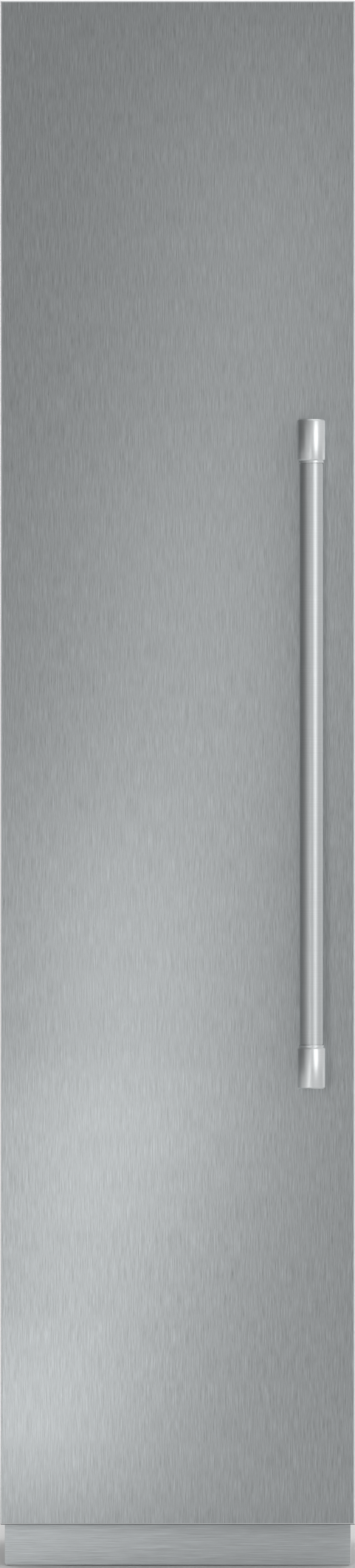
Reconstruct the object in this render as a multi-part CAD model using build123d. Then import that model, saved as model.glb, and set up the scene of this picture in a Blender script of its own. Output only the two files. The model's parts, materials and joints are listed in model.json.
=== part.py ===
# Built-in column freezer: a stainless panel door with a tubular handle, over a stainless toe-kick.
# Millimetres and degrees. +Z is up, the door faces -Y and is hinged at its left side, -X.
# The origin is on the floor, at the middle of the outer width and depth.
import math
import os

from build123d import *

# Door front
door_width = 457
door_height = 1961
door_foot = 55
panel_depth = 19
panel_sheet = 1.2
edge_round = 2.3
hem_width = 6

# Handle
handle_length = 859
handle_drop = 540
handle_edge = 57.1
handle_stand = 47.25
bar_radius = 15
bar_wall = 2
cap_radius = 17.75
cap_length = 56
cap_overlap = 24
cap_chamfer = 1.8
groove_length = 1.2
post_radius = 11
post_flare = 14
post_flare_length = 5
bolt_radius = 4
bolt_head_radius = 9
bolt_head_length = 5
bolt_reach = 24

# Inner door
core_depth = 42
core_inset = 5
core_recess = 27
core_gap = 0.3
frame_wall = 2
door_liner_sheet = 1.5
plug_margin = 13
plug_rise = 12
dyke_width = 15
dyke_rise = 38
seal_gap = 8
seal_clearance = 0.3
seal_width = 14
seal_bulb_width = 9
seal_base = 3
seal_inset = 34

# Cabinet
cabinet_inset = 3
cabinet_depth = 556
cabinet_foot = 70
cabinet_top_drop = 20
case_sheet = 1
liner_sheet = 1
frame_sheet = 1.5
side_foam = 45.5
top_foam = 49
back_foam = 55
floor_foam = 40
machine_height = 180
deck_sheet = 2
rear_recess = 30

# Hinges
pivot_inset = 12
pivot_depth = 9
pin_radius = 4
pin_length = 18
pin_clearance = 0.05
bush_radius = 6
bush_flange_radius = 7.3
bush_reach = 19
arm_thickness = 5
arm_boss_radius = 7
arm_half_width = 5.5
arm_angle = 62
plate_width = 104
plate_depth = 60
plate_setback = 4
bracket_thickness = 5
bracket_width = 70
bracket_run = 45
washer_gap = 0.3
screw_radius = 2.5
screw_head_radius = 4.6
screw_head_height = 2.6
screw_edge = 12

# Toe-kick and base
toe_inset = 5
toe_foot = 1
toe_gap = 1.5
toe_setback = 40
toe_sheet = 1.2
toe_return = 18
toe_shelf = 24
toe_corner = 3
toe_tab_width = 40
toe_tab_places = (-30, 150)
toe_tab_sheet = 2
base_sheet = 2
base_flange = 22
wheel_radius = 22
wheel_width = 16
wheel_crown = 2
wheel_inset_x = 44
wheel_inset_y = 52
axle_radius = 4
axle_clearance = 0.06
fork_sheet = 2.5
fork_gap = 0.6
fork_width = 26
fork_foot = 10
foot_radius = 20
foot_pad_height = 7
foot_neck_height = 6
foot_shaft_radius = 5
foot_shaft_top = 92
foot_inset_x = 34
foot_inset_y = 110
foot_boss_radius = 10
foot_boss_height = 26
foot_clearance = 0.06

# Machine compartment
grille_slot_height = 5
grille_slot_pitch = 12
grille_slot_margin = 24
grille_rail = 18
compressor_radius = 66
compressor_height = 138
compressor_dome = 30
compressor_back_gap = 20
compressor_side = 62
compressor_plate = 3
compressor_plate_margin = 6
compressor_seam = 3
mount_radius = 9
mount_height = 12
mount_inset = 14
condenser_width = 210
condenser_depth = 48
condenser_height = 118
condenser_setback = 46
condenser_side = 66
condenser_pitch = 8
fin_sheet = 0.8
tube_radius = 4
tube_pitch = 26
fan_frame_depth = 24
fan_frame_wall = 4
fan_gap = 3
fan_tip_gap = 3
fan_radius = 50
fan_hub_radius = 15
fan_hub_length = 14
fan_blade_chord = 30
fan_blade_sheet = 1.6
fan_pitch = 30
fan_shaft_radius = 3
fan_shaft_reach = 8
fan_shaft_clearance = 0.08
motor_radius = 19
motor_length = 16
spoke_width = 7
tray_width = 150
tray_depth = 120
tray_height = 26
tray_setback = 140
tray_wall = 2
box_width = 110
box_depth = 60
box_height = 120
box_margin = 20
box_round = 4
gland_radius = 11
gland_bore = 4.5
gland_length = 16
gland_nut_radius = 14
gland_nut_length = 4
gland_side = 74.5
gland_z = 120
valve_side = 74.5
valve_z = 180
valve_body = 34
valve_spigot_radius = 13
valve_spigot_length = 18
valve_bore = 8
valve_flange_radius = 17
valve_flange_length = 3
drier_radius = 9
drier_length = 70
drier_start = 250
pipe_radius = 3.2
pipe_bend = 8
pipe_rise = 13
pipe_level_drop = 35
pipe_turn = 25
chase_wall = 6
chase_depth = 18
chase_width = 26
chase_side = 29
chase_margin = 10
pipe_spacing = 12
pipe_stagger = 7
tube_chase_width = 14
tube_chase_side = 29
tube_chase_wall = 2
water_tube_rise = 81
water_tube_reach = 150
spout_rise = 52

# Inside the freezer
shelf_setback = 100
shelf_glass = 4
shelf_side_gap = 2
shelf_back_gap = 6
shelf_shares = (0.035, 0.357, 0.678)
ledge_width = 12
ledge_sheet = 3
ledge_up = 16
ledge_end = 20
duct_depth = 60
duct_sheet = 2
duct_side_gap = 8
duct_floor_gap = 12
duct_top_gap = 20
vent_width = 150
vent_height = 7
vent_pitch = 22
vent_count = 5
vent_share = 0.759
fan_share = 0.343
evaporator_width = 270
evaporator_depth = 44
evaporator_height = 260
evaporator_drop = 430
evaporator_pitch = 13
evaporator_back_gap = 0.3
light_width = 120
light_depth = 22
light_height = 6
light_setback = 90
light_spacing = 150
control_height = 50
control_depth = 40
control_setback = 6
control_gap = 0.3
button_radius = 8
button_proud = 1.8
button_length = 6
button_travel = 1
button_clearance = 0.3
button_spacing = 34
button_offset = 96
display_width = 110
display_height = 24
display_recess = 0.8
display_offset = -40

# Drawers, runners and ice bin
runner_space = 30
drawer_setback = 80
drawer_back_gap = 29
drawer_wall = 2.5
drawer_front = 5
drawer_floor_gap = 13
drawer_spacing = 32
drawer_heights = (228, 208)
drawer_grip_width = 150
drawer_grip_drop = 16
runner_drop = 40
runner_height = 20
runner_inner = 6.5
runner_wall = 2
runner_gap = 0.5
runner_back_gap = 19
runner_start = 24
slide_start = 40
ice_bin_drop = 425
ice_bin_height = 128
ice_maker_drop = 251
ice_maker_body = 46
ice_maker_width = 118
ice_maker_back_gap = 69
ice_maker_setback = 150
ice_maker_motor = 40
ice_cup_wall = 3
ice_cup_count = 7
ice_rib = 3
ejector_radius = 4
ejector_finger = 16
ejector_finger_width = 4
ejector_clearance = 0.1
feeler_wire = 2
feeler_reach = 30
feeler_run = 150
feeler_bend = 10
feeler_boss = 7

# Door bins
bin_depth = 84
bin_height = 92
bin_wall = 2.5
bin_side_gap = 9
bin_wing = 7
bin_wing_height = 10
bin_wing_base = 56
bin_wing_run = 34
bin_back_gap = 0.3
bin_shares = (0.102, 0.41, 0.718)
lug_height = 12
lug_run = 24
lug_reach = 7
dyke_foot = 40
dyke_head = 60

# Holes for an anti-tip bracket in the top of the case
tip_hole_radius = 2.5
tip_hole_spacing = 200
tip_hole_inset = 40

# How far a cutting body runs past what it cuts
overrun = 3

quarter_turn = 90
full_turn = 360
fan_blades = 7
condenser_fan_turn = 12

# Places worked out from the sizes above
handle_reach = handle_stand + cap_radius
total_depth = handle_reach + panel_depth + core_depth + seal_gap + cabinet_depth
door_face = handle_reach - total_depth / 2
panel_back = door_face + panel_depth
core_back = panel_back + core_depth
cabinet_face = core_back + seal_gap
cabinet_back = cabinet_face + cabinet_depth
door_half = door_width / 2
core_half = door_half - core_inset
cabinet_half = door_half - cabinet_inset
door_top = door_foot + door_height
core_foot = door_foot + core_recess
core_top = door_top - core_recess
cabinet_top = door_top - cabinet_top_drop
deck_top = cabinet_foot + machine_height + deck_sheet
deck_foot = deck_top - deck_sheet
body_front = cabinet_face + frame_sheet
case_back = cabinet_back - case_sheet
case_half = cabinet_half - case_sheet
liner_half = case_half - side_foam
cavity_half = liner_half - liner_sheet
liner_back = case_back - back_foam
cavity_back = liner_back - liner_sheet
liner_foot = deck_top + floor_foam
cavity_floor = liner_foot + liner_sheet
liner_top = cabinet_top - case_sheet - top_foam
cavity_top = liner_top - liner_sheet
pivot_x = -door_half + pivot_inset
pivot_y = door_face + pivot_depth
handle_x = door_half - handle_edge
handle_y = door_face - handle_stand
handle_top = door_top - handle_drop
handle_foot = handle_top - handle_length
control_top = cavity_top - control_gap
control_foot = control_top - control_height
control_face = cabinet_face + control_setback
plug_half = cavity_half - plug_margin
plug_foot = cavity_floor + plug_margin
plug_top = control_foot - plug_margin
bay_half = plug_half - dyke_width
duct_front = cavity_back - duct_depth
drawer_face = cabinet_face + drawer_setback
drawer_depth = duct_front - drawer_back_gap - drawer_face
runner_length = duct_front - runner_back_gap - drawer_face - slide_start
ice_maker_depth = duct_front - ice_maker_back_gap - cabinet_face - ice_maker_setback
rear_cover = cabinet_back - rear_recess
base_floor = cabinet_foot + base_sheet
toe_top = door_foot - toe_gap
toe_face = door_face + toe_setback
tray_half_width = cavity_half - runner_space
gland_x = case_half - gland_side
valve_x = valve_side - case_half
chase_x = liner_half - chase_side
tube_chase_x = tube_chase_side - liner_half
low_drawer_floor = cavity_floor + drawer_floor_gap
drawer_floors = (low_drawer_floor, low_drawer_floor + drawer_heights[0] + drawer_spacing)
drawers_top = drawer_floors[1] + drawer_heights[1]
ice_maker_height = cavity_top - ice_maker_drop
ice_bin_floor = cavity_top - ice_bin_drop
water_tube_height = ice_maker_height + water_tube_rise
spout_foot = ice_maker_height + spout_rise
# Shelves, door bins, fan and vents share the run between the drawers and the ice bin
shelf_run = ice_bin_floor - drawers_top
shelf_heights = tuple(drawers_top + share * shelf_run for share in shelf_shares)
bin_floors = tuple(drawers_top + share * shelf_run for share in bin_shares)
fan_height = drawers_top + fan_share * shelf_run
vent_base = drawers_top + vent_share * shelf_run
evaporator_base = fan_height - evaporator_drop


def block(low_x, high_x, low_y, high_y, low_z, high_z):
    middle = ((low_x + high_x) / 2, (low_y + high_y) / 2, (low_z + high_z) / 2)
    return Pos(*middle) * Box(high_x - low_x, high_y - low_y, high_z - low_z)


def upright(radius, x, y, low_z, high_z):
    return Pos(x, y, (low_z + high_z) / 2) * Cylinder(radius, high_z - low_z)


def crosswise(radius, low_x, high_x, y, z):
    middle = Pos((low_x + high_x) / 2, y, z)
    return middle * Rot(0, quarter_turn, 0) * Cylinder(radius, high_x - low_x)


def fore_aft(radius, x, low_y, high_y, z):
    middle = Pos(x, (low_y + high_y) / 2, z)
    return middle * Rot(quarter_turn, 0, 0) * Cylinder(radius, high_y - low_y)


def tub(low_x, high_x, low_y, high_y, low_z, high_z, wall, floor):
    # A box open at the top
    outer = block(low_x, high_x, low_y, high_y, low_z, high_z)
    inner = block(
        low_x + wall, high_x - wall, low_y + wall, high_y - wall, low_z + floor, high_z + overrun
    )
    return outer - inner


def bent_rod(points, radius, bend):
    # A round rod along straight runs joined by arcs
    line = FilletPolyline(*points, radius=bend)
    start = Plane(origin=line @ 0, z_dir=line % 0)
    return sweep(start * Circle(radius), path=line)


def pipe(points):
    return bent_rod(points, pipe_radius, pipe_bend)


def mirrored(shape):
    return [shape, mirror(shape, about=Plane.YZ)]


# Door


def door_panel():
    pan = block(-door_half, door_half, door_face, panel_back, door_foot, door_top)
    pan = fillet(pan.faces().sort_by(Axis.Y)[0].edges(), edge_round)
    inside = block(
        -door_half + panel_sheet,
        door_half - panel_sheet,
        door_face + panel_sheet,
        panel_back - panel_sheet,
        door_foot + panel_sheet,
        door_top - panel_sheet,
    )
    mouth_half = core_half + core_gap
    mouth = block(
        -mouth_half,
        mouth_half,
        panel_back - panel_sheet - overrun,
        panel_back + overrun,
        door_foot + hem_width,
        door_top - hem_width,
    )
    pan = pan - inside - mouth
    # The hinge arms pass through these two notches as the door opens
    for low_z, high_z in ((door_foot + hem_width, core_foot), (core_top, door_top - hem_width)):
        pan -= block(
            -door_half - overrun,
            -mouth_half,
            door_face + edge_round,
            panel_back + overrun,
            low_z,
            high_z,
        )
    for z in post_heights():
        pan -= fore_aft(bolt_radius, handle_x, door_face - overrun, door_face + panel_depth / 2, z)
    return pan


def post_heights():
    return (handle_foot + cap_length / 2, handle_top - cap_length / 2)


def pivot_holes(radius, reach):
    # Upright holes on the hinge axis, from each end of the inner door inwards
    low = upright(radius, pivot_x, pivot_y, core_foot - overrun, core_foot + reach)
    high = upright(radius, pivot_x, pivot_y, core_top - reach, core_top + overrun)
    return low, high


def door_frame():
    # Plastic ring round the inner door, whose top and bottom walls reach forward into the pan
    frame_back = core_back - door_liner_sheet
    front = door_face + panel_sheet
    ring = block(-core_half, core_half, panel_back, frame_back, core_foot, core_top)
    ring += block(-core_half, core_half, front, panel_back, core_foot, core_foot + frame_wall)
    ring += block(-core_half, core_half, front, panel_back, core_top - frame_wall, core_top)
    ring -= block(
        -core_half + frame_wall,
        core_half - frame_wall,
        panel_back - overrun,
        frame_back + overrun,
        core_foot + frame_wall,
        core_top - frame_wall,
    )
    for hole in pivot_holes(bush_radius, frame_wall + overrun):
        ring -= hole
    return ring


def door_foam():
    low_z = core_foot + frame_wall
    high_z = core_top - frame_wall
    front_half = door_half - panel_sheet
    front = door_face + panel_sheet
    inner_half = core_half - frame_wall
    foam = block(-front_half, front_half, front, panel_back - panel_sheet, low_z, high_z)
    foam += block(
        -inner_half, inner_half, panel_back - panel_sheet, core_back - door_liner_sheet, low_z, high_z
    )
    foam += plug_block(door_liner_sheet, core_back - door_liner_sheet)
    for hole in pivot_holes(bush_radius, bush_reach):
        foam -= hole
    for z in post_heights():
        foam -= fore_aft(bolt_radius, handle_x, front - overrun, front + bolt_reach, z)
        foam -= fore_aft(
            bolt_head_radius, handle_x, front + bolt_reach, front + bolt_reach + bolt_head_length, z
        )
    return foam


def plug_block(inset, low_y):
    return block(
        -plug_half + inset,
        plug_half - inset,
        low_y,
        core_back + plug_rise - inset,
        plug_foot + inset,
        plug_top - inset,
    )


def door_liner():
    sheet_front = core_back - door_liner_sheet
    liner = block(-core_half, core_half, sheet_front, core_back, core_foot, core_top)
    liner += plug_block(0, core_back)
    liner -= plug_block(door_liner_sheet, sheet_front - overrun)
    low_z = bin_floors[0] - dyke_foot
    high_z = bin_floors[-1] + bin_height + dyke_head
    dyke_front = core_back + plug_rise
    dyke_back = dyke_front + dyke_rise
    dyke = block(bay_half, plug_half, dyke_front, dyke_back, low_z, high_z)
    dyke = chamfer(dyke.edges().filter_by(Axis.X).sort_by(Axis.Y)[-2:], dyke_rise / 2)
    for floor in bin_floors:
        lug_top = floor + bin_wing_base
        lug_front = dyke_front + (dyke_rise - lug_run) / 2
        dyke += block(
            bay_half - lug_reach, bay_half, lug_front, lug_front + lug_run, lug_top - lug_height, lug_top
        )
    for side in mirrored(dyke):
        liner += side
    return liner


def door_gasket():
    outer_half = cavity_half + seal_inset
    low_z = cavity_floor - seal_inset
    high_z = cavity_top + seal_inset
    back = cabinet_face - seal_clearance

    def ring(inset, width, front, rear):
        outside = block(
            -outer_half + inset, outer_half - inset, front, rear, low_z + inset, high_z - inset
        )
        step = inset + width
        inside = block(
            -outer_half + step,
            outer_half - step,
            front - overrun,
            rear + overrun,
            low_z + step,
            high_z - step,
        )
        return outside - inside

    bulb_inset = (seal_width - seal_bulb_width) / 2
    seal = ring(0, seal_width, core_back, core_back + seal_base)
    return seal + ring(bulb_inset, seal_bulb_width, core_back + seal_base, back)


def pivot_brackets():
    bush_hole = upright(bush_radius, pivot_x, pivot_y, core_foot - core_recess, core_top + core_recess)

    def bracket(low_z):
        left = pivot_x - bush_flange_radius
        front = pivot_y - bush_flange_radius
        plate = block(
            left, pivot_x + bracket_width, front, pivot_y + bracket_run, low_z, low_z + bracket_thickness
        )
        return plate - bush_hole

    return [bracket(core_foot - bracket_thickness), bracket(core_top)]


def pivot_bushes():
    # Flanged bushes, whose flanges run 0.3 mm from the hinge arms
    bore = upright(
        pin_radius + pin_clearance, pivot_x, pivot_y, core_foot - core_recess, core_top + core_recess
    )
    low_flange = cabinet_foot + washer_gap
    low_seat = core_foot - bracket_thickness
    high_flange = cabinet_top - washer_gap
    high_seat = core_top + bracket_thickness
    low = upright(bush_flange_radius, pivot_x, pivot_y, low_flange, low_seat)
    low += upright(bush_radius, pivot_x, pivot_y, low_seat, core_foot + bush_reach)
    high = upright(bush_flange_radius, pivot_x, pivot_y, high_seat, high_flange)
    high += upright(bush_radius, pivot_x, pivot_y, core_top - bush_reach, high_seat)
    return [low - bore, high - bore]


def handle_bar():
    low_z = handle_foot + cap_length - cap_overlap
    high_z = handle_top - cap_length + cap_overlap
    bar = upright(bar_radius, handle_x, handle_y, low_z, high_z)
    bar -= upright(bar_radius - bar_wall, handle_x, handle_y, low_z - overrun, high_z + overrun)
    # A thin groove shows where each cap ends
    for near, far in (
        (handle_foot + cap_length, handle_foot + cap_length + groove_length),
        (handle_top - cap_length - groove_length, handle_top - cap_length),
    ):
        groove = upright(bar_radius + overrun, handle_x, handle_y, near, far)
        groove -= upright(bar_radius - bar_wall / 2, handle_x, handle_y, near, far)
        bar -= groove
    return bar


def handle_cap(outer_z, inner_z):
    # A turned ferrule, closed at its outer end and bored to take the bar
    low_z = min(outer_z, inner_z)
    high_z = max(outer_z, inner_z)
    cap = upright(cap_radius, handle_x, handle_y, low_z, high_z)
    rims = [edge for edge in cap.edges() if edge.geom_type == GeomType.CIRCLE]
    cap = chamfer(rims, cap_chamfer)
    toward = 1 if inner_z > outer_z else -1
    seat = inner_z - toward * cap_overlap
    mouth = inner_z + toward * overrun
    cap -= upright(bar_radius, handle_x, handle_y, min(seat, mouth), max(seat, mouth))
    middle = (low_z + high_z) / 2
    cap -= fore_aft(bolt_radius, handle_x, handle_y, handle_y + cap_radius + overrun, middle)
    return cap


def handle_posts():
    posts = []
    for z in post_heights():
        seat = handle_y + math.sqrt(cap_radius**2 - post_radius**2)
        post = fore_aft(post_radius, handle_x, handle_y, door_face, z)
        post += fore_aft(post_flare, handle_x, door_face - post_flare_length, door_face, z)
        post -= upright(cap_radius, handle_x, handle_y, z - cap_length, z + cap_length)
        post -= fore_aft(bolt_radius, handle_x, seat - cap_radius, door_face + overrun, z)
        posts.append(post)
    return posts


def handle_bolts():
    head_front = door_face + panel_sheet + bolt_reach
    bolts = []
    for z in post_heights():
        bolt = fore_aft(bolt_radius, handle_x, handle_y, head_front, z)
        bolt += fore_aft(bolt_head_radius, handle_x, head_front, head_front + bolt_head_length, z)
        bolts.append(bolt)
    return bolts


def door_bin(floor):
    # A bin that hangs by its side wings on the liner's lugs
    front = core_back + plug_rise + bin_back_gap
    half = bay_half - bin_side_gap
    shell = tub(-half, half, front, front + bin_depth, floor, floor + bin_height, bin_wall, bin_wall)
    wing_front = front + (dyke_rise - bin_wing_run) / 2
    wing_back = wing_front + bin_wing_run
    wing_low = floor + bin_wing_base
    wing = block(half, half + bin_wing, wing_front, wing_back, wing_low, wing_low + bin_wing_height)
    for side in mirrored(wing):
        shell += side
    return shell


# Cabinet


def outer_case():
    # Sides, top, back, the deck over the machine compartment and that compartment's rear cover
    sheet_top = cabinet_top - case_sheet
    cover_front = rear_cover - case_sheet
    side = block(case_half, cabinet_half, body_front, cabinet_back, cabinet_foot, cabinet_top)
    top = block(-case_half, case_half, body_front, cabinet_back, sheet_top, cabinet_top)
    back = block(-case_half, case_half, case_back, cabinet_back, deck_foot, sheet_top)
    deck = block(-case_half, case_half, body_front, case_back, deck_foot, deck_top)
    cover = block(-case_half, case_half, cover_front, rear_cover, base_floor, deck_foot)
    for x, y in plate_screws():
        top -= upright(screw_radius, x, y, sheet_top - overrun, cabinet_top + overrun)
    hole_y = cabinet_back - tip_hole_inset
    for x in (-tip_hole_spacing / 2, tip_hole_spacing / 2):
        top -= upright(tip_hole_radius, x, hole_y, sheet_top - overrun, cabinet_top + overrun)
    deck -= line_channel(deck_foot - overrun, liner_back)
    deck -= tube_channel(deck_foot - overrun, liner_back)
    cover -= fore_aft(gland_radius, gland_x, cover_front - overrun, rear_cover + overrun, gland_z)
    cover -= fore_aft(valve_spigot_radius, valve_x, cover_front - overrun, rear_cover + overrun, valve_z)
    return mirrored(side) + [top, back, deck, cover]


def row_height(base, height, row):
    # Height of one row of a fin pack's tubes
    rows = int(height / tube_pitch)
    return base + (height - (rows - 1) * tube_pitch) / 2 + row * tube_pitch


def channel(x, width, low_y, depth, low_z, mouth, top, front):
    # An upright channel in the back foam, with a mouth forward at its upper end
    half = width / 2
    upright_part = block(x - half, x + half, low_y, low_y + depth, low_z, top)
    return upright_part + block(x - half, x + half, front, low_y + overrun, mouth, top)


def line_channel(low_z, front):
    # For the refrigerant lines
    mouth = row_height(evaporator_base, evaporator_height, 0) - chase_margin
    top = row_height(evaporator_base, evaporator_height, 1) + chase_margin
    return channel(
        chase_x, chase_width, liner_back + chase_wall, chase_depth, low_z, mouth, top, front
    )


def tube_channel(low_z, front):
    # For the water tube
    half = tube_chase_width / 2
    return channel(
        tube_chase_x,
        tube_chase_width,
        liner_back + tube_chase_wall,
        tube_chase_width,
        low_z,
        water_tube_height - half,
        water_tube_height + half,
        front,
    )


def cabinet_foam():
    foam = block(
        -case_half, case_half, body_front, case_back, deck_top, cabinet_top - case_sheet
    )
    foam -= block(
        -liner_half, liner_half, body_front - overrun, liner_back, liner_foot, liner_top
    )
    foam -= line_channel(deck_top - overrun, liner_back - overrun)
    foam -= tube_channel(deck_top - overrun, liner_back - overrun)
    return foam


def freezer_liner():
    liner = block(-liner_half, liner_half, body_front, liner_back, liner_foot, liner_top)
    liner -= block(
        -cavity_half, cavity_half, body_front - overrun, cavity_back, cavity_floor, cavity_top
    )
    liner -= line_channel(liner_foot, cavity_back - overrun)
    liner -= tube_channel(liner_foot, cavity_back - overrun)
    return liner


def face_frame():
    frame = block(-cabinet_half, cabinet_half, cabinet_face, body_front, deck_foot, cabinet_top)
    return frame - block(
        -cavity_half,
        cavity_half,
        cabinet_face - overrun,
        body_front + overrun,
        cavity_floor,
        cavity_top,
    )


def arm_direction():
    angle = math.radians(arm_angle)
    return Vector(math.cos(angle), math.sin(angle))


def plate_corners():
    # Left, right, front and back of the hinge plate, whose left edge lines up with the arm
    along = arm_direction()
    left_side = Vector(-along.Y, along.X)
    edge = Vector(pivot_x, pivot_y) + left_side * arm_half_width
    front = cabinet_face + plate_setback
    back = front + plate_depth
    left_front = edge + along * ((front - edge.Y) / along.Y)
    return left_front.X, left_front.X + plate_width, front, back


def plate_screws():
    left, right, front, back = plate_corners()
    columns = (left + screw_edge, right - screw_edge)
    rows = (front + screw_edge, back - screw_edge)
    return [(x, y) for x in columns for y in rows]


def hinge_plate(low_z):
    along = arm_direction()
    left_side = Vector(-along.Y, along.X)
    pivot = Vector(pivot_x, pivot_y)
    left, right, front, back = plate_corners()
    outline = [
        pivot + left_side * arm_half_width,
        Vector(left, front),
        Vector(left, back),
        Vector(right, back),
        Vector(right, front),
        pivot - left_side * arm_half_width,
    ]
    face = make_face(Polyline(*[(point.X, point.Y) for point in outline], close=True))
    plate = Pos(0, 0, low_z) * extrude(face, arm_thickness)
    plate += upright(arm_boss_radius, pivot_x, pivot_y, low_z, low_z + arm_thickness)
    for x, y in plate_screws():
        plate -= upright(screw_radius, x, y, low_z - overrun, low_z + arm_thickness + overrun)
    return plate


def upper_hinge():
    pin = upright(pin_radius, pivot_x, pivot_y, cabinet_top - pin_length, cabinet_top + arm_thickness / 2)
    return hinge_plate(cabinet_top) + pin


def lower_hinge():
    low_z = cabinet_foot - arm_thickness
    pin = upright(pin_radius, pivot_x, pivot_y, low_z + arm_thickness / 2, cabinet_foot + pin_length)
    return hinge_plate(low_z) + pin


def hinge_screws():
    screws = []
    for x, y in plate_screws():
        top = cabinet_top + arm_thickness
        screw = upright(screw_radius, x, y, cabinet_top - case_sheet, top)
        screws.append(screw + upright(screw_head_radius, x, y, top, top + screw_head_height))
        low = cabinet_foot - arm_thickness
        screw = upright(screw_radius, x, y, low, base_floor)
        screws.append(screw + upright(screw_head_radius, x, y, low - screw_head_height, low))
    return screws


def wheel_places():
    inner = cabinet_half - wheel_inset_x
    return ((-inner, cabinet_back - wheel_inset_y), (inner, cabinet_back - wheel_inset_y))


def foot_places():
    inner = cabinet_half - foot_inset_x
    return ((-inner, cabinet_face + foot_inset_y), (inner, cabinet_face + foot_inset_y))


def base_pan():
    back = rear_cover - case_sheet
    pan = tub(
        -case_half,
        case_half,
        body_front,
        back,
        cabinet_foot,
        cabinet_foot + base_flange,
        base_sheet,
        base_sheet,
    )
    # Forks for the wheels hang under a rear tongue of the floor
    tongue_back = cabinet_back - case_sheet
    pan += block(-case_half, case_half, back - overrun, tongue_back, cabinet_foot, base_floor)
    for x, y in wheel_places():
        offset = wheel_width / 2 + fork_gap
        for low_x in (x - offset - fork_sheet, x + offset):
            ear = block(
                low_x, low_x + fork_sheet, y - fork_width / 2, y + fork_width / 2, fork_foot, base_floor
            )
            pan += ear - crosswise(
                axle_radius + axle_clearance, low_x - overrun, low_x + fork_sheet + overrun, y, wheel_radius
            )
    for x, y in foot_places():
        boss_foot = cabinet_foot - foot_boss_height
        pan += upright(foot_boss_radius, x, y, boss_foot, base_floor)
        pan -= upright(
            foot_shaft_radius + foot_clearance, x, y, boss_foot - overrun, base_floor + base_flange
        )
    for x, y in plate_screws():
        pan -= upright(screw_radius, x, y, cabinet_foot - overrun, base_floor + overrun)
    # Tabs that the toe-kick's top shelf hangs on
    for x in toe_tab_places:
        low_x = x - toe_tab_width / 2
        high_x = x + toe_tab_width / 2
        shelf_back = toe_face + toe_shelf
        tab_back = body_front + toe_tab_sheet
        pan += block(low_x, high_x, shelf_back - toe_shelf / 2, tab_back, toe_top, toe_top + toe_tab_sheet)
        pan += block(low_x, high_x, body_front, tab_back, toe_top, base_floor)
    return pan


def wheel(x, y):
    tread = crosswise(wheel_radius, x - wheel_width / 2, x + wheel_width / 2, y, wheel_radius)
    rims = [edge for edge in tread.edges() if edge.geom_type == GeomType.CIRCLE]
    tread = fillet(rims, wheel_crown)
    reach = wheel_width / 2 + fork_gap + fork_sheet
    return tread + crosswise(axle_radius, x - reach, x + reach, y, wheel_radius)


def foot(x, y):
    pad = upright(foot_radius, x, y, 0, foot_pad_height)
    neck = Pos(x, y, foot_pad_height + foot_neck_height / 2) * Cone(
        foot_radius, foot_boss_radius, foot_neck_height
    )
    return pad + neck + upright(foot_shaft_radius, x, y, foot_pad_height, foot_shaft_top)


def toe_kick():
    half = door_half - toe_inset
    plate = block(-half, half, toe_face, toe_face + toe_shelf, toe_foot, toe_top)
    plate -= block(
        -half + toe_sheet,
        half - toe_sheet,
        toe_face + toe_sheet,
        toe_face + toe_shelf + overrun,
        toe_foot - overrun,
        toe_top - toe_sheet,
    )
    # The side returns are shorter than the top shelf
    plate -= block(
        -half - overrun,
        half + overrun,
        toe_face + toe_return,
        toe_face + toe_shelf + overrun,
        toe_foot - overrun,
        toe_top - toe_sheet,
    )
    front = plate.faces().sort_by(Axis.Y)[0]
    corners = front.vertices().sort_by(Axis.Z)[:2]
    for corner in corners:
        plate -= Pos(corner.X, 0, corner.Z) * Rot(quarter_turn, 0, 0) * Rot(0, 0, quarter_turn / 2) * Box(
            toe_corner, toe_corner, total_depth
        )
    return plate


# Machine compartment


def machine_grille():
    half = case_half
    low_z = base_floor
    plate = block(-half, half, cabinet_face, body_front, low_z, deck_foot)
    count = int((deck_foot - low_z - 2 * grille_slot_margin) / grille_slot_pitch) + 1
    for row in range(count):
        z = low_z + grille_slot_margin + row * grille_slot_pitch
        for low_x, high_x in (
            (-half + grille_rail, -grille_rail / 2),
            (grille_rail / 2, half - grille_rail),
        ):
            plate -= block(
                low_x, high_x, cabinet_face - overrun, body_front + overrun, z, z + grille_slot_height
            )
    return plate


def compressor_place():
    x = -case_half + compressor_side + compressor_radius
    return x, rear_cover - compressor_back_gap - compressor_radius - compressor_plate_margin


def compressor_base():
    return base_floor + mount_height


def compressor():
    x, y = compressor_place()
    low_z = compressor_base()
    half = compressor_radius + compressor_plate_margin
    plate_top = low_z + compressor_plate
    body = upright(compressor_radius, x, y, plate_top, plate_top + compressor_height)
    top = body.edges().filter_by(GeomType.CIRCLE).sort_by(Axis.Z)[-1]
    body = fillet(top, compressor_dome)
    seam_z = plate_top + compressor_height / 2
    body += upright(compressor_radius + compressor_seam, x, y, seam_z, seam_z + compressor_seam)
    return body + block(x - half, x + half, y - half, y + half, low_z, plate_top)


def compressor_mounts():
    x, y = compressor_place()
    reach = compressor_radius + compressor_plate_margin - mount_inset
    places = [(x + sx * reach, y + sy * reach) for sx in (-1, 1) for sy in (-1, 1)]
    return [upright(mount_radius, px, py, base_floor, compressor_base()) for px, py in places]


def fin_pack(low_x, width, low_y, depth, low_z, height, pitch):
    # Upright fins threaded on tubes that run across them
    pack = Part()
    for index in range(int(width / pitch) + 1):
        x = low_x + index * pitch
        pack += block(x, x + fin_sheet, low_y, low_y + depth, low_z, low_z + height)
    high_x = pack_end(low_x, width, pitch)
    for row in range(int(height / tube_pitch)):
        z = row_height(low_z, height, row)
        pack += crosswise(tube_radius, low_x, high_x, low_y + depth / 2, z)
    return pack


def pack_end(low_x, width, pitch):
    return low_x + int(width / pitch) * pitch + fin_sheet


def condenser_box():
    low_x = -case_half + condenser_side
    return low_x, body_front + condenser_setback


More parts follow.
